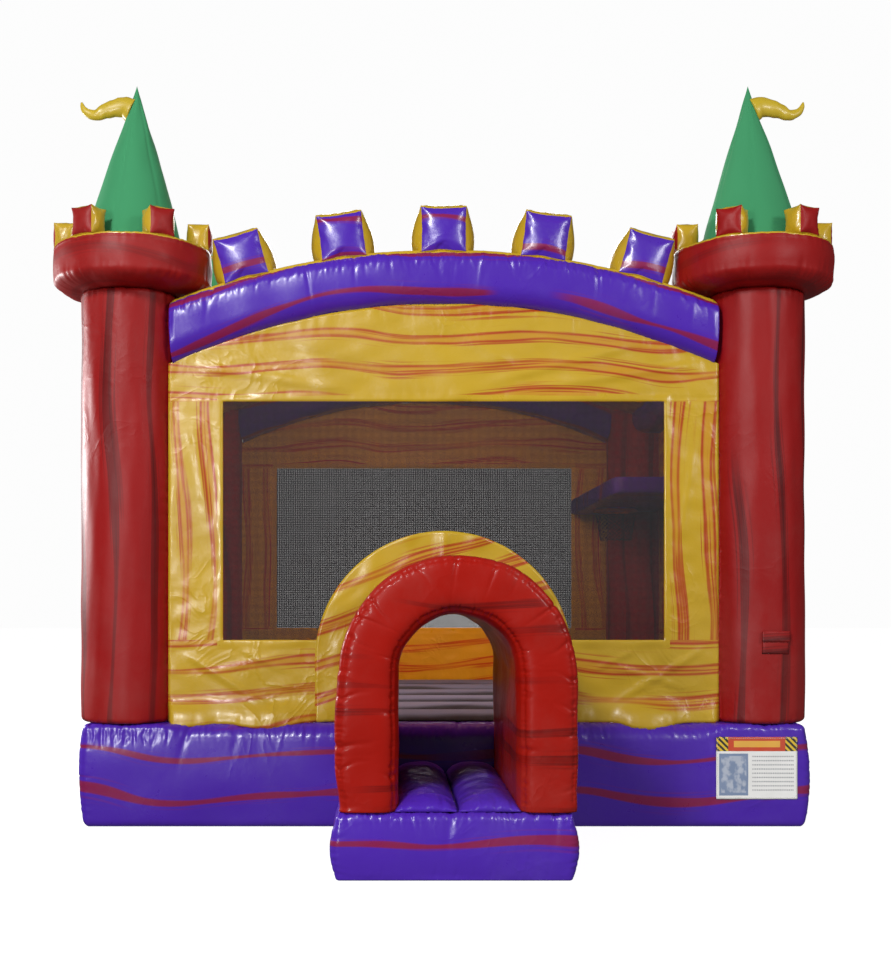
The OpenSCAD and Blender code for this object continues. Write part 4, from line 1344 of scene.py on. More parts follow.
def make_flags():
    line, radius = smooth_line(FLAG_LINE, 44), smooth_line(FLAG_RADIUS, 44)
    way = np.gradient(line, axis=0)
    way /= np.linalg.norm(way, axis=1, keepdims=True)
    angle = np.linspace(0, math.tau, 29)
    for k, (corner, spot) in enumerate(TURRETS.items()):
        rng = np.random.default_rng(SEED + 50 + k)
        side = -1 if "left" in corner else 1
        flag_z = float(CAP_HIGH[2]) + 0.93
        out = line[:, 0][:, None] - radius[:, None] * np.cos(angle) * way[:, 1][:, None]
        up = line[:, 1][:, None] + radius[:, None] * np.cos(angle) * way[:, 0][:, None]
        across = 0.7 * radius[:, None] * np.sin(angle)
        points = place(spot[0] - side * 0.02 + side * out, spot[1] + across, flag_z + up)
        core = place(spot[0] - side * 0.02 + side * line[:, 0], spot[1] + 0 * radius,
                     flag_z + line[:, 1])[:, None]
        length = run_length(points, 0)
        height = 0.0015 * ripple(rng, length, across, 0.08)
        gather(height.T, length.T, (np.abs(np.sin(angle)) * radius[:, None]).T, rng, 0.06, 0.0022, 0.02, 0.010)
        height *= smooth((len(line) - np.arange(len(line)))[:, None] / 8)
        points = swell(points, height, core, wrap_v=True)
        piece = Sewn().add(points, weave(length, across))
        for row in (0, -1):
            piece.add(fan(points[row], core[row, 0], (1.0, 0.5, 0.0)), weave(0.0, np.arange(3.0)),
                      flip=row == 0)
        obj = piece.make(f"flag_{corner}_sewn", [flag_yellow()])
        seat(obj, f"flag_{corner}", slot="yellow_vinyl")


# ---------------------------------------------------------------- beams

def beam_ring(step=0.013):
    """A beam's section from its outer upper seam, down the face, under, up the back and over the top."""
    d, h, top_r, low_r, roll = BEAM_D / 2, BEAM_H / 2, 0.03, 0.12, 0.085

    def arc(cx, cz, r, a0, a1, n):
        return [(cx + r * math.cos(math.radians(t)), cz + r * math.sin(math.radians(t)))
                for t in np.linspace(a0, a1, n)]

    ring = arc(-d + roll, h - roll, roll, 104, 128, 9)
    ring += arc(-d + roll, h - roll, roll, 128, 180, 9)[1:]
    ring += [(-d, z) for z in spans(h - roll, -h + low_r, step=step)[1:]]
    ring += arc(-d + low_r, -h + low_r, low_r, 180, 270, 14)[1:]
    ring += arc(d - low_r, -h + low_r, low_r, 270, 360, 10)
    ring += [(d, z) for z in spans(-h + low_r, h - top_r, step=0.03)[1:]]
    ring += arc(d - top_r, h - top_r, top_r, 0, 90, 6)[1:]
    top = len(ring) - 3
    ring += [(x, h) for x in spans(d - top_r, -d + roll, step=0.024)[1:]]
    ring += arc(-d + roll, h - roll, roll, 90, 104, 3)[1:]
    return np.array(ring), top


def beam_skin(node, to_world, reach, length, rng, seed, fine):
    """Sweeps a beam's section. reach gives where each strand of it meets the columns."""
    ring, top = beam_ring()
    share = np.linspace(-1, 1, max(8, math.ceil(length / fine)))[:, None]

    def swept(section):
        return to_world(share * reach(section[:, 0], section[:, 1]), section[:, 0], section[:, 1])

    points = swept(ring)
    core = swept(np.zeros_like(ring))
    down = np.concatenate([[0], np.cumsum(np.linalg.norm(np.diff(ring, axis=0), axis=1))])
    along = (share * length / 2) + 0 * down
    outer = np.minimum(down, down[-1] - down) + 0 * along
    inner = np.abs(down - down[top]) + 0 * along
    height = 0.004 * ripple(rng, along, down + 0 * along, 0.5)
    belly = 0.008 * np.sin(math.pi * np.clip(down / 0.34, 0, 1)) ** 2
    height = height + belly
    front = outer * np.where(down < down[-1] / 2, 1.0, 2.2)
    gather(height, along, np.abs(front - 0.05), rng, 0.030, 0.0042, 0.06, 0.0085)
    gather(height, along, front, rng, 0.24, 0.009, 0.2, 0.015, 0.2)
    gather(height, along, inner, rng, 0.05, 0.005, 0.07)
    gather(height, along, np.abs(front - 0.085), rng, 0.045, 0.006, 0.035, 0.0085, 0.4)
    height *= smooth((front - 0.012) / 0.03) * 0.8 + 0.2
    height += 0.010 * np.exp(-((down - 0.014) / 0.0065) ** 2)
    height *= smooth((1 - np.abs(share)) / 0.02) * 0.9 + 0.1
    points = swell(points, height, core, wrap_v=True)
    slot = np.zeros((len(share) - 1, len(ring) - 1), int)
    slot[:, top:] = slot[:, :7] = 1
    piece = Sewn().add(points, weave(along, -down + 0.03), slot)
    for row in (0, -1):
        steps = [ring * f for f in (1.0, 0.5, 0.0)]
        disc = np.stack([swept(part)[row] for part in steps], axis=1)
        disc[:, 0] = points[row]
        piece.add(disc, weave(0.0, np.arange(3.0)), flip=row == 0)
    obj = piece.make(f"{node}_sewn", [purple_vinyl(seed, 0.13), plain_yellow()])
    seat(obj, node, slot="purple_vinyl")


def make_arch_beams():
    for node, face, corner in (("arch_beam_front", 1, "front_right"), ("arch_beam_rear", -1, "rear_right")):
        rng = np.random.default_rng(SEED + 60 + face)
        mid_y = float(middle(node)[1])
        spot = COLUMNS[corner]

        def reach(d, h, mid_y=mid_y, face=face, spot=spot):
            gap = np.sqrt(np.maximum((COLUMN_R + 0.003) ** 2 - (mid_y + face * d - spot[1]) ** 2, 0))
            gap = np.maximum(gap, 0.292)
            return np.arcsin((spot[0] - gap) / (ARCH_R + h))

        def to_world(angle, d, h, mid_y=mid_y, face=face):
            radius = ARCH_R + h - 0.03 * (angle / 0.4) ** 2 * np.clip(-h / 0.17, 0, 1)
            return place(radius * np.sin(angle), mid_y + face * d + 0 * angle, ARCH_Z + radius * np.cos(angle))

        beam_skin(node, to_world, reach, 3.6, rng, 20.0 + face, 0.0088)


def make_side_beams():
    y0, y1 = COLUMNS["front_left"][1], COLUMNS["rear_left"][1]
    for node, side in (("side_beam_left", -1), ("side_beam_right", 1)):
        rng = np.random.default_rng(SEED + 64 + side)
        mid_x, z = float(middle(node)[0]), float(middle(node)[2])
        column_x = side * abs(COLUMNS["front_left"][0])

        def reach(d, h, mid_x=mid_x, side=side, column_x=column_x):
            gap = np.sqrt(np.maximum((COLUMN_R + 0.003) ** 2 - (mid_x - side * d - column_x) ** 2, 0))
            return (y1 - y0) / 2 - gap

        def to_world(t, d, h, mid_x=mid_x, side=side, z=z):
            return place(mid_x - side * d + 0 * t, (y0 + y1) / 2 + t, z + h + 0 * t)

        beam_skin(node, to_world, reach, 3.05, rng, 24.0 + side, 0.017)


def make_arch_merlons():
    rng = np.random.default_rng(SEED + 66)
    width, depth, tall = 0.29, BEAM_D - 0.06, 0.30
    puff = sizes().merlon_puff
    materials = [plain_yellow(), purple_vinyl(30.0, 0.06)]
    piece = Sewn()
    for cube, chart, slot in box_shell(30, {"front": np.pad(np.ones((29, 28), int), ((0, 0), (0, 1)))}):
        half = np.array((width / 2 + 0.002, depth / 2 - 0.004, tall / 2 - 0.004))
        shape = pillow(cube, half, (puff, puff * 0.35, puff * 0.3), 0.004, 0.4)
        piece.add(shape, chart * half[0] + [0.0, 0.1], slot)
    pattern = piece.make("merlon_pattern_large", materials)
    inflate(pattern, 4.0, 0.016, 20)

    def near_edge(p):
        scaled = np.sort(np.abs(p) / (width / 2), axis=1)
        return 0.3 + smooth((scaled[:, 1] - 0.55) / 0.35)

    ruffle(pattern, 0.0016, 0.085, rng, near_edge)
    for node, face in (("arch_merlons_front", 1), ("arch_merlons_rear", -1)):
        mid_y = float(middle(node)[1])
        moves = []
        for i in range(-2, 3):
            lift_by = shift_matrix(0, 0, ARCH_R + BEAM_H / 2 + tall / 2 - 0.016)
            spin = turn_matrix(0.0 if face > 0 else math.pi, "Z")
            tilt = turn_matrix(math.radians(ARCH_MERLON_PITCH * i), "Y")
            moves.append(shift_matrix(0, mid_y, ARCH_Z) @ tilt @ lift_by @ spin)
        obj = copies(f"{node}_sewn", pattern, moves, materials,
                     [(1.3 * k, s) for k, s in enumerate((0.02, 0.13, -0.06, 0.10, 0.06))])
        seat(obj, node, slot="purple_vinyl")
    remove_object(pattern)


# ---------------------------------------------------------------- walls, nets and roof

def wall_grid(half, window, door, top_of, z0, z1, base):
    """A wall panel's grid in its own plane, and the blocks that are cloth."""
    stops = [-half, -window, -door, door, window, half] if door else [-half, -window, window, half]
    xs = spans(*stops, step=0.019)
    low = spans(base, z0, step=0.018)
    mid = spans(z0, z1, step=0.022)[1:]
    upper = np.linspace(0, 1, 30)[1:]
    top = top_of(xs)
    z = np.concatenate([low + 0 * xs[:, None], mid + 0 * xs[:, None], z1 + upper * (top - z1)[:, None]], axis=1)
    x = xs[:, None] + 0 * z
    cx = (xs[:-1] + xs[1:])[:, None] / 2 + 0 * z[:-1, :-1]
    cz = (z[:-1, :-1] + z[1:, 1:]) / 2
    in_low, in_mid, in_top = cz < z0, (cz > z0) & (cz < z1), cz > z1
    return x, z, cx, cz, in_low & (np.abs(cx) > door), in_mid & (np.abs(cx) > window), in_top


def make_wall(node, half, window, door, top_of, to_world, folds, seed, hem=False):
    rng = np.random.default_rng(SEED + 70 + int(seed))
    z0, z1 = WINDOW_SILL, WINDOW_HEAD
    base = BASE_H + 0.003
    x, z, cx, cz, low_mask, mid_mask, top_mask = wall_grid(half, window, door, top_of, z0, z1, base)
    d = 0.004 * ripple(rng, x, z, 0.55) + 0.0022 * ripple(rng, x * 0.5, z, 0.14)
    for start, end, width, depth in folds:
        d = crease(d, x, z, start, end, width, depth)
    frame_away = np.maximum(np.abs(x) - window, np.maximum(z0 - z, z - z1))
    gather(d.T, z.T, (half - np.abs(x)).T, rng, 0.055, 0.005, 0.07, 0.011)
    gather(d, x, np.abs(z - z1 - 0.02), rng, 0.07, 0.004, 0.06, 0.012)
    gather(d, x, np.abs(z - base), rng, 0.09, 0.007, 0.10, 0.018)
    top_away = top_of(x[:, 0])[:, None] - z
    gather(d, x, top_away, rng, 0.06, 0.006, 0.08, 0.013)
    d -= 0.003 * np.exp(-((z - z1 - 0.024) / 0.006) ** 2)
    d = d * smooth(np.abs(frame_away) / 0.05) * smooth((half - np.abs(x)) / 0.03)
    d = d * smooth(top_away / 0.03 + 0.2)
    binding = smooth((BINDING - frame_away) / 0.008)
    d = d + 0.0045 * binding
    if door:
        d = d * smooth((np.hypot(x, np.maximum(z - TUNNEL_SPRING, 0)) - 0.84) / 0.08)
    d = np.clip(d, -0.008, 0.02)
    drop = 0.0 * d
    if hem:
        wave = 0.5 + 0.5 * np.tanh(1.4 * ripple(np.random.default_rng(SEED + 5), x, 0 * z, 0.9))
        reach = (0.035 + 0.075 * wave) * smooth((half + 0.01 - np.abs(x)) / 0.05)
        reach = reach * smooth((np.abs(x) - 0.74) / 0.14)
        d = d + reach * smooth((0.17 - (z - base)) / 0.17)
        over = np.clip(reach - 0.019, 0, 0.11)
        roll = sizes().bolster_roll
        drop = smooth((0.07 - (z - base)) / 0.07) * (roll - np.sqrt(roll ** 2 - over ** 2))
    points = to_world(x, z - drop, d)
    in_binding = (np.abs(cx) - window < BINDING) & (cz > z0 - BINDING) & (cz < z1 + BINDING)
    edge_slot = in_binding.astype(int)
    piece = Sewn()
    flat_map = weave(x, z)
    upright_map = weave(z * 0.8 + 3.0 * np.sign(x), np.abs(x) - 0.108)
    for mask, chart in ((low_mask, flat_map), (mid_mask, upright_map), (top_mask, flat_map)):
        add_masked(piece, points, chart, mask, edge_slot)
    obj = piece.make(f"{node}_cloth", [yellow_vinyl(seed, 0.03), plain_yellow()], closed=False, thickness=sizes().sheet_thickness)
    seat(obj, node, slot="yellow_vinyl")
    return obj


def add_masked(piece, points, maps, mask, slot):
    """Adds only the cells of a grid that its mask keeps."""
    n, m = points.shape[:2]
    index = np.arange(n * m).reshape(n, m)
    quads = np.stack([index[:-1, :-1], index[1:, :-1], index[1:, 1:], index[:-1, 1:]], -1)[mask]
    used, quads = np.unique(quads, return_inverse=True)
    piece.points.append(points.reshape(-1, 3)[used])
    piece.maps.append(maps.reshape(-1, 2)[used])
    piece.quads.append(quads.reshape(-1, 4) + piece.count)
    piece.slots.append(slot[mask])
    piece.count += len(used)


def arch_top(x):
    return ARCH_Z + np.sqrt((ARCH_R - BEAM_H / 2 + 0.008) ** 2 - x ** 2) - 0.026 * (x / 1.8) ** 2


def side_top(x):
    return 2.976 + 0 * x


# Pull folds of the front wall: start, end, width and depth, in the wall's own plane.
FRONT_FOLDS = [
    ((-1.72, 2.95), (-0.4, 2.74), 0.03, 0.012), ((1.72, 2.95), (0.35, 2.76), 0.03, 0.012),
    ((-1.2, 3.1), (-0.1, 2.8), 0.028, -0.010), ((1.3, 3.08), (0.2, 2.8), 0.026, 0.010),
    ((-0.2, 3.3), (0.6, 2.85), 0.03, 0.009), ((-1.70, 1.12), (-1.05, 0.70), 0.022, 0.014),
    ((-1.55, 0.95), (-0.95, 1.10), 0.018, 0.010), ((1.70, 1.14), (1.0, 0.72), 0.022, 0.014),
    ((1.6, 0.85), (0.95, 1.05), 0.018, 0.010), ((-1.35, 1.14), (-0.9, 0.92), 0.016, 0.009),
    ((1.25, 1.12), (0.9, 0.95), 0.016, 0.009), ((-1.62, 2.6), (-1.5, 1.9), 0.02, 0.008),
    ((1.62, 2.5), (1.5, 1.7), 0.02, 0.008)]


def make_walls():
    make_wall("wall_front", WALL_HALF, WINDOW_HALF, DOOR_HALF, arch_top,
              lambda x, z, d: place(x, WALL_Y0 - d, z), FRONT_FOLDS, 40.0, hem=True)
    make_wall("wall_rear", WALL_HALF, WINDOW_HALF, 0.0, arch_top,
              lambda x, z, d: place(x, WALL_Y1 + d, z), FRONT_FOLDS[:9], 41.0)
    side_folds = [((-1.5, 2.9), (-0.3, 2.74), 0.026, 0.010), ((1.5, 2.9), (0.3, 2.75), 0.026, 0.010),
                  ((-1.45, 1.1), (-0.7, 0.7), 0.022, 0.012), ((1.45, 1.1), (0.6, 0.72), 0.022, 0.012)]
    half = float(limits("wall_left")[1][1] - limits("wall_left")[0][1]) / 2
    make_wall("wall_left", half, SIDE_WINDOW_HALF, 0.0, side_top,
              lambda x, z, d: place(-WALL_X - d, SIDE_Y - x, z), side_folds, 42.0)
    make_wall("wall_right", half, SIDE_WINDOW_HALF, 0.0, side_top,
              lambda x, z, d: place(WALL_X + d, SIDE_Y + x, z), side_folds, 43.0)


def make_nets():
    s = sizes()
    yarn = woven("netting_yarn", colours().netting, 900.0, 0.8)
    for node, half, angle, spot in (
            ("net_front", NET_HALF, 0.0, (0.0, WALL_Y0)),
            ("net_rear", NET_HALF, math.pi, (0.0, WALL_Y1)),
            ("net_left", SIDE_NET_HALF, -math.pi / 2, (-WALL_X, SIDE_Y)),
            ("net_right", SIDE_NET_HALF, math.pi / 2, (WALL_X, SIDE_Y))):
        obj = link_object(f"{node}_woven", bpy.data.meshes.new(f"{node}_woven"))
        arch = TUNNEL_INNER + 0.012 if node == "net_front" else 0.0
        run_nodes(obj, net_tree(), {
            "Half Width": half, "Bottom": NET_BOTTOM, "Top": NET_TOP, "Pitch": s.net_pitch, "Strand": s.net_strand,
            "Arch Radius": arch, "Arch Spring": TUNNEL_SPRING, "Yarn": yarn})
        obj.data.transform(shift_matrix(spot[0], spot[1], 0) @ turn_matrix(angle, "Z"))
        seat(obj, node, slot="black_netting")


def make_roof():
    rng = np.random.default_rng(SEED + 80)
    low, high = limits("roof")
    radius = ARCH_R + 0.064
    ys = spans(low[1] + 0.002, high[1] - 0.002, step=0.03)
    share = np.linspace(-1, 1, 150)
    reach = np.full_like(ys, float(high[0]) - 0.003)
    for name in ("front_right", "rear_right"):
        spot = COLUMNS[name]
        gap = np.sqrt(np.maximum((COLUMN_R + 0.006) ** 2 - (ys - spot[1]) ** 2, 0))
        reach = np.where(gap > 0, np.minimum(reach, spot[0] - gap), reach)
    angle = share[:, None] * np.arcsin(reach / radius)
    along = angle * radius
    y = ys + 0 * angle
    d = 0.006 * ripple(rng, along, y, 0.6)
    edge = np.minimum(y - ys[0], ys[-1] - y)
    gather(d, along, edge, rng, 0.08, 0.008, 0.12, 0.017)
    for k in range(1, 5):
        d -= 0.010 * np.exp(-(((y - low[1]) - k * (high[1] - low[1]) / 5) / 0.02) ** 2)
    r = radius + np.clip(d, -0.02, 0.02) * smooth(edge / 0.06)
    points = place(r * np.sin(angle), y, ARCH_Z + r * np.cos(angle))
    obj = Sewn().add(points, weave(along, y)).make(
        "roof_cloth", [yellow_vinyl(50.0)], closed=False, thickness=sizes().sheet_thickness)
    seat(obj, "roof", slot="yellow_vinyl")


# ---------------------------------------------------------------- fittings

def make_shelf():
    rng = np.random.default_rng(SEED + 90)
    low, high = limits("hoop_shelf")
    centre = middle("hoop_rim")[:2]
    spot = COLUMNS["rear_right"]
    angle = np.linspace(0, math.tau, 181)
    way = np.stack([np.cos(angle), np.sin(angle)], 1)
    room = np.full(len(angle), 9.0)
    for axis in (0, 1):
        for wall in (low[axis], high[axis]):
            t = (wall - centre[axis]) / np.where(np.abs(way[:, axis]) < 1e-9, 1e-9, way[:, axis])
            room = np.where(t > 0, np.minimum(room, t), room)
    to = spot - centre
    ahead = way @ to
    miss = (COLUMN_R + 0.008) ** 2 - (to @ to - ahead ** 2)
    hit = ahead - np.sqrt(np.maximum(miss, 0))
    room = np.where((miss > 0) & (ahead > 0), np.minimum(room, hit), room) - 0.004
    inner = 0.188
    z0, z1 = float(low[2]) + 0.014, float(high[2]) - 0.014
    f = np.concatenate([np.linspace(0, 0.08, 6), np.linspace(0.08, 0.92, 28)[1:], np.linspace(0.92, 1, 6)[1:]])
    r = inner + f * (room - inner)[:, None]
    crown = 0.014 * (1 - (2 * f - 1) ** 8) + 0 * r
    over = place(centre[0] + r * way[:, :1], centre[1] + r * way[:, 1:], z1 + crown)
    crinkle = 0 * r
    gather(crinkle, angle * 0.6, (r - inner), rng, 0.04, 0.005, 0.05)
    gather(crinkle, angle * 0.9, room[:, None] - r, rng, 0.05, 0.005, 0.06)
    over[..., 2] += crinkle * smooth(crown / 0.01)
    over[-1] = over[0]
    under = over * [1, 1, -1] + [0, 0, z0 + z1]
    piece = Sewn().add(over, weave(r * way[:, :1], r * way[:, 1:]))
    piece.add(under, weave(r * way[:, :1], r * way[:, 1:]), flip=True)
    for column, puff in ((0, -0.004), (-1, 0.003)):
        u = np.linspace(0, 1, 9)[:, None, None]
        band = under[None, :, column] + u * (over[None, :, column] - under[None, :, column])
        band[..., :2] += (puff * np.sin(math.pi * u[..., 0]))[..., None] * way
        piece.add(band, weave(u[..., 0] * 0.12, angle * 0.5), flip=column == 0)
    obj = piece.make("ball_shelf_sewn", [purple_vinyl(33.0, 0.0)])
    seat(obj, "hoop_shelf", slot="purple_vinyl")
    low, high = limits("hoop_net")
    centre = middle("hoop_net")[:2]
    count, rings = 22, 15
    verts, edges = [], []
    for j in range(rings):
        t = j / (rings - 1)
        r = 0.186 + (0.137 - 0.186) * t ** 0.7
        for i in range(count):
            a = math.tau * (i + 0.5 * (j % 2)) / count
            verts.append((centre[0] + r * math.cos(a), centre[1] + r * math.sin(a),
                          high[2] - 0.001 - t * (high[2] - low[2] - 0.003)))
            if j + 1 < rings:
                side = 1 if j % 2 else -1
                start, below = j * count + i, (j + 1) * count
                edges += [(start, below + i), (start, below + (i + side) % count)]
    last = (rings - 1) * count
    edges += [(last + i, last + (i + 1) % count) for i in range(count)]
    cord_lines("ball_net_knotted", verts, edges, 0.0016, woven("netting_yarn", colours().netting, 900.0, 0.8),
               "hoop_net", "black_netting")


def cord_tree():
    """Round yarn along every edge of a mesh."""
    if "Yarn" in bpy.data.node_groups:
        return bpy.data.node_groups["Yarn"]
    tree, source, sink = node_tree("Yarn", [
        ("Radius", "NodeSocketFloat", 0.0015), ("Sides", "NodeSocketInt", 5),
        ("Yarn", "NodeSocketMaterial", None)])
    curve = tree.nodes.new("GeometryNodeMeshToCurve")
    round_end = tree.nodes.new("GeometryNodeCurvePrimitiveCircle")
    tube = tree.nodes.new("GeometryNodeCurveToMesh")
    tube.inputs["Fill Caps"].default_value = True
    link = tree.links.new
    link(source.outputs["Geometry"], curve.inputs["Mesh"])
    link(source.outputs["Sides"], round_end.inputs["Resolution"])
    link(source.outputs["Radius"], round_end.inputs["Radius"])
    link(curve.outputs[0], tube.inputs["Curve"])
    link(round_end.outputs[0], tube.inputs["Profile Curve"])
    return end_tree(tree, tube.outputs[0], source.outputs["Yarn"], sink)


def cord_lines(name, verts, edges, radius, yarn, node, slot):
    mesh = bpy.data.meshes.new(name)
    mesh.from_pydata([tuple(map(float, v)) for v in verts], edges, [])
    obj = link_object(name, mesh)
    run_nodes(obj, cord_tree(), {"Radius": radius, "Sides": 5, "Yarn": yarn})
    return seat(obj, node, slot=slot)


def printed_panel():
    """A generic sign without lettering: striped header ends, a block of tone and rows of dots."""
    material, tree, shader, w = new_material("printed_panel")
    chart = tree.nodes.new("ShaderNodeUVMap")
    chart.uv_map = "print"
    split = w.node("ShaderNodeSeparateXYZ", Vector=chart.outputs[0])
    u, v = split.outputs[0], split.outputs[1]

    def within(value, low, high):
        return w.math("MULTIPLY", w.math("GREATER_THAN", value, low), w.math("LESS_THAN", value, high))

    def block(u0, u1, v0, v1):
        return w.math("MULTIPLY", within(u, u0, u1), within(v, v0, v1))

    colour = w.mix(block(0.018, 0.200, 0.022, 0.285), (0.86, 0.86, 0.84, 1), (0.20, 0.27, 0.42, 1))
    tone = w.noise(w.vector(w.math("MULTIPLY", u, 24.0), w.math("MULTIPLY", v, 18.0)), 1.0, 2.0)
    toned = w.math("MULTIPLY", block(0.030, 0.188, 0.040, 0.270), w.step(tone, 0.4, 0.6))
    colour = w.mix(toned, colour, (0.45, 0.50, 0.60, 1))
    rows = w.math("LESS_THAN", w.math("FRACT", w.math("MULTIPLY", v, 38.0)), 0.3)
    dots = w.math("LESS_THAN", w.math("FRACT", w.math("MULTIPLY", u, 90.0)), 0.55)
    marks = w.math("MULTIPLY", w.math("MULTIPLY", rows, dots), block(0.225, 0.488, 0.035, 0.275))
    colour = w.mix(marks, colour, (0.22, 0.22, 0.25, 1))
    colour = w.mix(block(0.0, 0.508, 0.300, 0.389), colour, (0.60, 0.055, 0.012, 1))
    slant = w.math("LESS_THAN", w.math("FRACT", w.math("MULTIPLY", w.math("ADD", u, v), 26.0)), 0.5)
    ends = w.math("ADD", block(0.0, 0.075, 0.300, 0.389), block(0.433, 0.508, 0.300, 0.389))
    colour = w.mix(ends, colour, w.mix(slant, (0.75, 0.50, 0.02, 1), (0.02, 0.02, 0.02, 1)))
    colour = w.mix(block(0.11, 0.40, 0.325, 0.365), colour, (0.80, 0.42, 0.05, 1))
    coords = tree.nodes.new("ShaderNodeTexCoord")
    surface = place_group(w, coated_fabric(), Place=coords.outputs["Object"], Crinkle=0.5, Gloss=0.36)
    dirt = w.math("MULTIPLY", surface.outputs["Dirt"], 0.12)
    w.feed(shader.inputs["Base Color"], w.mix(dirt, colour, (0.3, 0.28, 0.25, 1)))
    w.feed(shader.inputs["Roughness"], surface.outputs["Roughness"])
    add_relief(w, shader, surface.outputs["Height"], 0.3, 0.004)
    return material


def flat_cloth(name, to_world, size, material, node, slot, body=HOUSE, thickness=0.002,
               rng=None, wave=0.002):
    """A small rectangle of sheet, made on its own width and height."""
    u, v = spans(0.0, size[0], step=0.01), spans(0.0, size[1], step=0.01)
    d = 0 * (u[:, None] + v)
    if rng is not None:
        d = wave * ripple(rng, u[:, None] + 0 * v, v + 0 * u[:, None], 0.16)
    piece = Sewn().add(to_world(u[:, None], v, d), weave(u[:, None], v))
    obj = piece.make(name, [material], closed=False, thickness=thickness)
    seat(obj, node, slot=slot, body=body)
    return obj


def make_fittings():
    rng = np.random.default_rng(SEED + 95)
    thread = woven("sewing_thread", (0.55, 0.55, 0.5), 2000.0, 0.6)
    low, high = limits("rules_panel")

    def on_base(u, v, d):
        return place(low[0] + u, low[1] - 0.004 - d + 0 * v, low[2] + v + 0 * u)

    flat_cloth("rules_panel_print", on_base, (float(high[0] - low[0]), float(high[2] - low[2])),
               printed_panel(), "rules_panel", "printed_panel", rng=rng, wave=0.0012)
    m, e, y = 0.008, [float(low[0]), float(high[0])], float(low[1]) - 0.0065
    zs = [float(low[2]) + m, float(high[2]) - m]
    stitch("rules_panel_stitches", [[(e[0] + m, y, zs[0]), (e[1] - m, y, zs[0]), (e[1] - m, y, zs[1]),
                                     (e[0] + m, y, zs[1]), (e[0] + m, y, zs[0])]], thread)
    zip_low, zip_high = limits("zip_flap")

    def over_zip(u, v, d):
        return place(zip_low[0] + u, zip_low[1] + 0.002 + np.maximum(d, -0.001) + 0 * v,
                     zip_high[2] - v + 0 * u)

    flat_cloth("zip_flap_cloth", over_zip,
               (float(zip_high[0] - zip_low[0]), float(zip_high[2] - zip_low[2])),
               purple_vinyl(34.0, 0.0), "zip_flap", "purple_vinyl", body="zip_cover",
               thickness=0.0025, rng=rng, wave=0.0012)
    spot = COLUMNS["front_right"]

    def on_column(u, v, d, r, z0, width):
        angle = math.radians(-82) + (u - width / 2) / r
        return place(spot[0] + (r + d) * np.cos(angle), spot[1] + (r + d) * np.sin(angle), z0 + v + 0 * u)

    flap_low, flap_high = limits("pouch_flap")
    width, tall = 0.186, float(flap_high[2] - flap_low[2])
    red = red_vinyl(15.0, 0.1)

    def over_pouch(u, v, d):
        return on_column(u, v, 0.001 + 0.004 * (1 - v / tall) ** 2 + 0 * u, 0.3255,
                         float(flap_low[2]), width)

    flat_cloth("pouch_flap_cloth", over_pouch, (width, tall), red, "pouch_flap", "red_vinyl",
               body="pouch_cover", thickness=0.002)
    low, high = limits("pouch")
    u, v = np.linspace(0, 0.178, 30), np.linspace(0, float(high[2] - low[2]), 26)
    shape = ((1 - (2 * u / u[-1] - 1) ** 6)[:, None] * (1 - (2 * v / v[-1] - 1) ** 6)) ** 0.6
    shape = shape * (1 + 0.12 * ripple(rng, u[:, None] + 0 * v, v + 0 * u[:, None], 0.07))
    outer = on_column(u[:, None], v, 0.0015 + 0.0102 * np.clip(shape, 0, 1.15), COLUMN_R, float(low[2]), 0.178)
    back = on_column(u[:, None], v, 0.0015 + 0 * shape, COLUMN_R, float(low[2]), 0.178)
    chart = weave(u[:, None], v)
    pouch = Sewn().add(outer, chart).add(back, chart, flip=True).make("pouch_sewn", [red])
    seat(pouch, "pouch", slot="red_vinyl")
    low, high = limits("inlet_sleeve")
    spot = (low + high) / 2
    angle, y = np.linspace(0, math.tau, 97), spans(float(low[1]), float(high[1]), step=0.006)
    r = SLEEVE_R + 0 * (angle[:, None] + y)
    fold = 0 * r
    gather(fold, angle * 0.12, np.abs(y - low[1] - 0.115) + 0 * r, rng, 0.022, 0.004, 0.05, 0.006)
    fold += 0.003 * np.sin(angle * 5)[:, None] * smooth((y - low[1] - 0.13) / 0.06)
    fold[-1] = fold[0]
    r = r + np.clip(fold, -0.004, 0.0012)
    points = place(spot[0] + r * np.cos(angle)[:, None], y + 0 * r, spot[2] + r * np.sin(angle)[:, None])
    sleeve = Sewn().add(points, weave((angle * SLEEVE_R)[:, None], y)).make(
        "inlet_sleeve_cloth", [red_vinyl(16.0, 0.0)], closed=False, thickness=0.002)
    seat(sleeve, "inlet_sleeve", slot="red_vinyl")
    make_teeth()
    finish_frame_nodes()


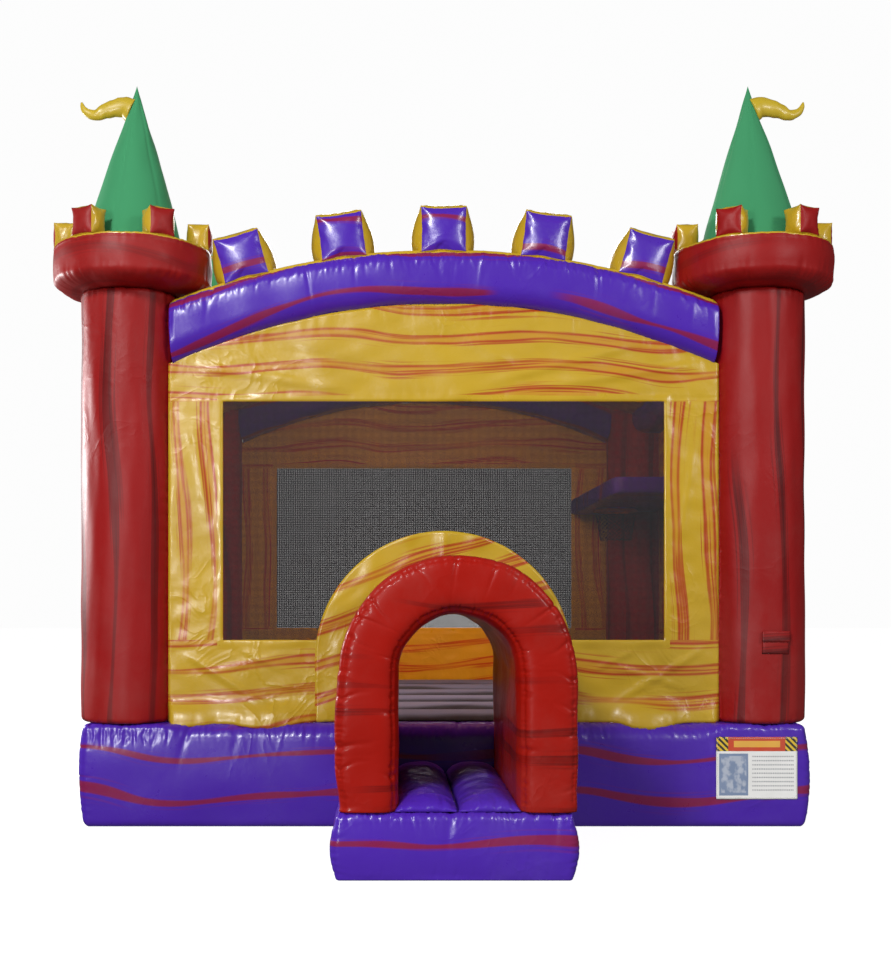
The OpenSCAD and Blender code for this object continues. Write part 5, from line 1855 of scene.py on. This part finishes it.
def tooth_tree():
    """A row of zip teeth that mesh from two sides."""
    tree, source, sink = node_tree("Zip Teeth", [
        ("Count", "NodeSocketInt", 100), ("Pitch", "NodeSocketFloat", 0.005),
        ("Metal", "NodeSocketMaterial", None)])
    w = Wires(tree)
    line = tree.nodes.new("GeometryNodeMeshLine")
    w.feed(line.inputs["Count"], source.outputs["Count"])
    w.feed(line.inputs["Offset"], w.vector(source.outputs["Pitch"], 0.0, 0.0))
    order = tree.nodes.new("GeometryNodeInputIndex").outputs[0]
    odd = w.math("SUBTRACT", w.math("MULTIPLY", w.math("MODULO", order, 2.0), 2.0), 1.0)
    shifted = tree.nodes.new("GeometryNodeSetPosition")
    w.feed(shifted.inputs["Geometry"], line.outputs[0])
    w.feed(shifted.inputs["Offset"], w.vector(0.0, 0.0, w.math("MULTIPLY", odd, 0.0022)))
    tooth = tree.nodes.new("GeometryNodeMeshCube")
    tooth.inputs["Size"].default_value = (0.0034, 0.0016, 0.007)
    row = tree.nodes.new("GeometryNodeInstanceOnPoints")
    tree.links.new(shifted.outputs[0], row.inputs["Points"])
    tree.links.new(tooth.outputs["Mesh"], row.inputs["Instance"])
    return end_tree(tree, row.outputs[0], source.outputs["Metal"], sink)


def make_teeth():
    low, high = limits("zip_tape")
    obj = link_object("zip_teeth", bpy.data.meshes.new("zip_teeth"))
    count = int((high[0] - low[0]) / TOOTH_PITCH)
    run_nodes(obj, tooth_tree(), {"Count": count, "Pitch": TOOTH_PITCH, "Metal": zinc_steel()})
    obj.data.transform(shift_matrix(low[0] + 0.002, high[1] + 0.0004, (low[2] + high[2]) / 2))
    seat(obj, slot="steel")


def finish_frame_nodes():
    """Gives each CAD node that stays in view its own finish."""
    black = woven("webbing", colours().webbing, 420.0, 0.72)
    scrim = woven("baffle_scrim", (0.62, 0.62, 0.60), 160.0, 0.8)
    plastic = vinyl("hoop_plastic", (0.75, 0.09, 0.01), gloss=0.4, crinkle=0.15, coat=0.1)
    finishes = {"base_baffles": scrim, "step_baffle": scrim, "hoop_rim": plastic, "inlet_strap": black,
                "zip_tape": black, "anchor_tabs": black, "zip_slider": zinc_steel()}
    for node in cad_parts:
        if node.startswith("anchor_ring_"):
            finishes[node] = zinc_steel()
    for node, material in finishes.items():
        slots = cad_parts[node].material_slots
        if not len(slots):
            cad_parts[node].data.materials.append(material)
        for slot in slots:
            slot.material = material


# ---------------------------------------------------------------- stage

def make_stage():
    scene = bpy.context.scene
    mesh = bpy.data.meshes.new("floor")
    size = 60.0
    corners = [(-size, -size, 0), (size, -size, 0), (size, size, 0), (-size, size, 0)]
    mesh.from_pydata(corners, [], [(0, 1, 2, 3)])
    floor = link_object("floor", mesh)
    material, _, shader, _ = new_material("pale_floor")
    shader.inputs["Base Color"].default_value = (0.30, 0.30, 0.30, 1)
    shader.inputs["Emission Color"].default_value = (1.0, 1.0, 1.0, 1)
    shader.inputs["Emission Strength"].default_value = 0.91
    shader.inputs["Roughness"].default_value = 0.9
    mesh.materials.append(material)
    floor.visible_diffuse = floor.visible_glossy = False
    world = scene.world or bpy.data.worlds.new("studio")
    scene.world = world
    world.use_nodes = True
    back = world.node_tree.nodes["Background"]
    back.inputs["Color"].default_value = (1.0, 1.0, 1.0, 1)
    w = Wires(world.node_tree)
    ray = world.node_tree.nodes.new("ShaderNodeLightPath").outputs
    soft = w.math("MULTIPLY", ray["Is Diffuse Ray"], 0.27)
    seen = w.math("MULTIPLY", ray["Is Camera Ray"], 0.93)
    w.feed(back.inputs["Strength"], w.math("ADD", seen, w.math("ADD", soft, 0.05)))
    for name, spot, aim, size, power in (
            ("key", (-4.5, -10.5, 8.0), (0.0, 0.0, 1.6), 1.8, 770.0),
            ("front", (-5.0, -11.5, 2.6), (0.3, -2.5, 0.9), 1.4, 300.0),
            ("fill", (7.0, -9.0, 6.0), (0.0, 0.0, 1.6), 1.8, 300.0),
            ("back", (0.0, 9.5, 8.0), (0.0, 0.0, 1.5), 5.0, 700.0),
            ("left", (-7.5, 1.5, 3.0), (-2.0, -1.0, 1.6), 1.2, 420.0),
            ("inside", (0.0, -0.3, 3.3), (0.0, 2.2, 1.1), 2.2, 200.0)):
        data = bpy.data.lights.new(name, "AREA")
        data.shape, data.size, data.energy = "SQUARE", size, power
        if name == "inside":
            data.color = (1.0, 0.52, 0.30)
        lamp = bpy.data.objects.new(name, data)
        lamp.location = spot
        lamp.visible_camera = False
        lamp.visible_glossy = name != "inside"
        lamp.rotation_mode = "QUATERNION"
        lamp.rotation_quaternion = (Vector(aim) - Vector(spot)).to_track_quat("-Z", "Y")
        scene.collection.objects.link(lamp)
    data = bpy.data.cameras.new("camera")
    data.lens, data.sensor_width, data.sensor_fit = 46.6, 36.0, "AUTO"
    data.shift_x, data.shift_y = 0.063, 0.128
    camera = bpy.data.objects.new("camera", data)
    camera.location = (-0.374, -9.2775, 1.412)
    camera.rotation_euler = (math.pi / 2, 0.0, 0.0)
    scene.collection.objects.link(camera)
    scene.camera = camera
    scene.view_settings.view_transform = "Standard"


# ---------------------------------------------------------------- operators and panel

class BOUNCEHOUSE_OT_stage(bpy.types.Operator):
    """Make the floor, the lights and the camera"""

    bl_idname = "bouncehouse.stage"
    bl_label = "Stage"

    def execute(self, context):
        make_stage()
        return {"FINISHED"}


class BOUNCEHOUSE_OT_base(bpy.types.Operator):
    """Make the air-filled base"""

    bl_idname = "bouncehouse.base"
    bl_label = "Base"

    def execute(self, context):
        make_base()
        return {"FINISHED"}


class BOUNCEHOUSE_OT_jumping_floor(bpy.types.Operator):
    """Make the ribbed jumping floor"""

    bl_idname = "bouncehouse.jumping_floor"
    bl_label = "Jumping Floor"

    def execute(self, context):
        make_floor()
        return {"FINISHED"}


class BOUNCEHOUSE_OT_step(bpy.types.Operator):
    """Make the entry step and its two pads"""

    bl_idname = "bouncehouse.step"
    bl_label = "Entry Step"

    def execute(self, context):
        make_step()
        return {"FINISHED"}


class BOUNCEHOUSE_OT_tunnel(bpy.types.Operator):
    """Make the arched entry tunnel"""

    bl_idname = "bouncehouse.tunnel"
    bl_label = "Entry Tunnel"

    def execute(self, context):
        make_tunnel()
        return {"FINISHED"}


class BOUNCEHOUSE_OT_surround(bpy.types.Operator):
    """Make the flat cloth behind the tunnel"""

    bl_idname = "bouncehouse.surround"
    bl_label = "Door Surround"

    def execute(self, context):
        make_surround()
        return {"FINISHED"}


class BOUNCEHOUSE_OT_columns(bpy.types.Operator):
    """Make the four corner columns"""

    bl_idname = "bouncehouse.columns"
    bl_label = "Columns"

    def execute(self, context):
        make_columns()
        return {"FINISHED"}


class BOUNCEHOUSE_OT_caps(bpy.types.Operator):
    """Make the four turret caps"""

    bl_idname = "bouncehouse.caps"
    bl_label = "Turret Caps"

    def execute(self, context):
        make_caps()
        return {"FINISHED"}


class BOUNCEHOUSE_OT_turret_merlons(bpy.types.Operator):
    """Make the merlons on the turrets"""

    bl_idname = "bouncehouse.turret_merlons"
    bl_label = "Turret Merlons"

    def execute(self, context):
        make_turret_merlons()
        return {"FINISHED"}


class BOUNCEHOUSE_OT_spires(bpy.types.Operator):
    """Make the four spires"""

    bl_idname = "bouncehouse.spires"
    bl_label = "Spires"

    def execute(self, context):
        make_spires()
        return {"FINISHED"}


class BOUNCEHOUSE_OT_flags(bpy.types.Operator):
    """Make the four flags"""

    bl_idname = "bouncehouse.flags"
    bl_label = "Flags"

    def execute(self, context):
        make_flags()
        return {"FINISHED"}


class BOUNCEHOUSE_OT_arch_beams(bpy.types.Operator):
    """Make the front and rear beams"""

    bl_idname = "bouncehouse.arch_beams"
    bl_label = "Arched Beams"

    def execute(self, context):
        make_arch_beams()
        return {"FINISHED"}


class BOUNCEHOUSE_OT_side_beams(bpy.types.Operator):
    """Make the two side beams"""

    bl_idname = "bouncehouse.side_beams"
    bl_label = "Side Beams"

    def execute(self, context):
        make_side_beams()
        return {"FINISHED"}


class BOUNCEHOUSE_OT_arch_merlons(bpy.types.Operator):
    """Make the merlons on the arched beams"""

    bl_idname = "bouncehouse.arch_merlons"
    bl_label = "Beam Merlons"

    def execute(self, context):
        make_arch_merlons()
        return {"FINISHED"}


class BOUNCEHOUSE_OT_walls(bpy.types.Operator):
    """Make the four wall panels"""

    bl_idname = "bouncehouse.walls"
    bl_label = "Walls"

    def execute(self, context):
        make_walls()
        return {"FINISHED"}


class BOUNCEHOUSE_OT_nets(bpy.types.Operator):
    """Weave the four window nets"""

    bl_idname = "bouncehouse.nets"
    bl_label = "Window Nets"

    def execute(self, context):
        make_nets()
        return {"FINISHED"}


class BOUNCEHOUSE_OT_roof(bpy.types.Operator):
    """Make the vaulted roof"""

    bl_idname = "bouncehouse.roof"
    bl_label = "Roof"

    def execute(self, context):
        make_roof()
        return {"FINISHED"}


class BOUNCEHOUSE_OT_shelf(bpy.types.Operator):
    """Make the padded shelf and its ball net"""

    bl_idname = "bouncehouse.shelf"
    bl_label = "Ball Shelf"

    def execute(self, context):
        make_shelf()
        return {"FINISHED"}


class BOUNCEHOUSE_OT_fittings(bpy.types.Operator):
    """Make the panel, pouch, inlet and zip, and finish the anchors"""

    bl_idname = "bouncehouse.fittings"
    bl_label = "Fittings"

    def execute(self, context):
        make_fittings()
        return {"FINISHED"}


OPERATORS = [
    BOUNCEHOUSE_OT_stage, BOUNCEHOUSE_OT_base, BOUNCEHOUSE_OT_jumping_floor, BOUNCEHOUSE_OT_step,
    BOUNCEHOUSE_OT_tunnel, BOUNCEHOUSE_OT_surround, BOUNCEHOUSE_OT_columns, BOUNCEHOUSE_OT_caps,
    BOUNCEHOUSE_OT_turret_merlons, BOUNCEHOUSE_OT_spires, BOUNCEHOUSE_OT_flags,
    BOUNCEHOUSE_OT_arch_beams, BOUNCEHOUSE_OT_side_beams, BOUNCEHOUSE_OT_arch_merlons,
    BOUNCEHOUSE_OT_walls, BOUNCEHOUSE_OT_nets, BOUNCEHOUSE_OT_roof, BOUNCEHOUSE_OT_shelf,
    BOUNCEHOUSE_OT_fittings,
]


class BOUNCEHOUSE_PT_panel(bpy.types.Panel):
    """Lists the sizes, the colours and every step of the castle bounce house"""

    bl_label = "Castle Bounce House"
    bl_idname = "BOUNCEHOUSE_PT_panel"
    bl_space_type = "VIEW_3D"
    bl_region_type = "UI"
    bl_category = "Bounce House"

    def draw(self, context):
        layout = self.layout
        for group in (context.scene.bounce_house_sizes, context.scene.bounce_house_colours):
            box = layout.box()
            for name in group.__annotations__:
                box.prop(group, name)
        for cls in OPERATORS:
            layout.operator(cls.bl_idname)


CLASSES = [BounceHouseSizes, BounceHouseColours, *OPERATORS, BOUNCEHOUSE_PT_panel]


def register():
    for cls in CLASSES:
        bpy.utils.register_class(cls)
    bpy.types.Scene.bounce_house_sizes = PointerProperty(type=BounceHouseSizes)
    bpy.types.Scene.bounce_house_colours = PointerProperty(type=BounceHouseColours)


def unregister():
    del bpy.types.Scene.bounce_house_colours
    del bpy.types.Scene.bounce_house_sizes
    for cls in reversed(CLASSES):
        bpy.utils.unregister_class(cls)


def main():
    register()
    for cls in OPERATORS:
        getattr(bpy.ops.bouncehouse, cls.bl_idname.split(".")[1])()


if __name__ == "__main__":
    main()
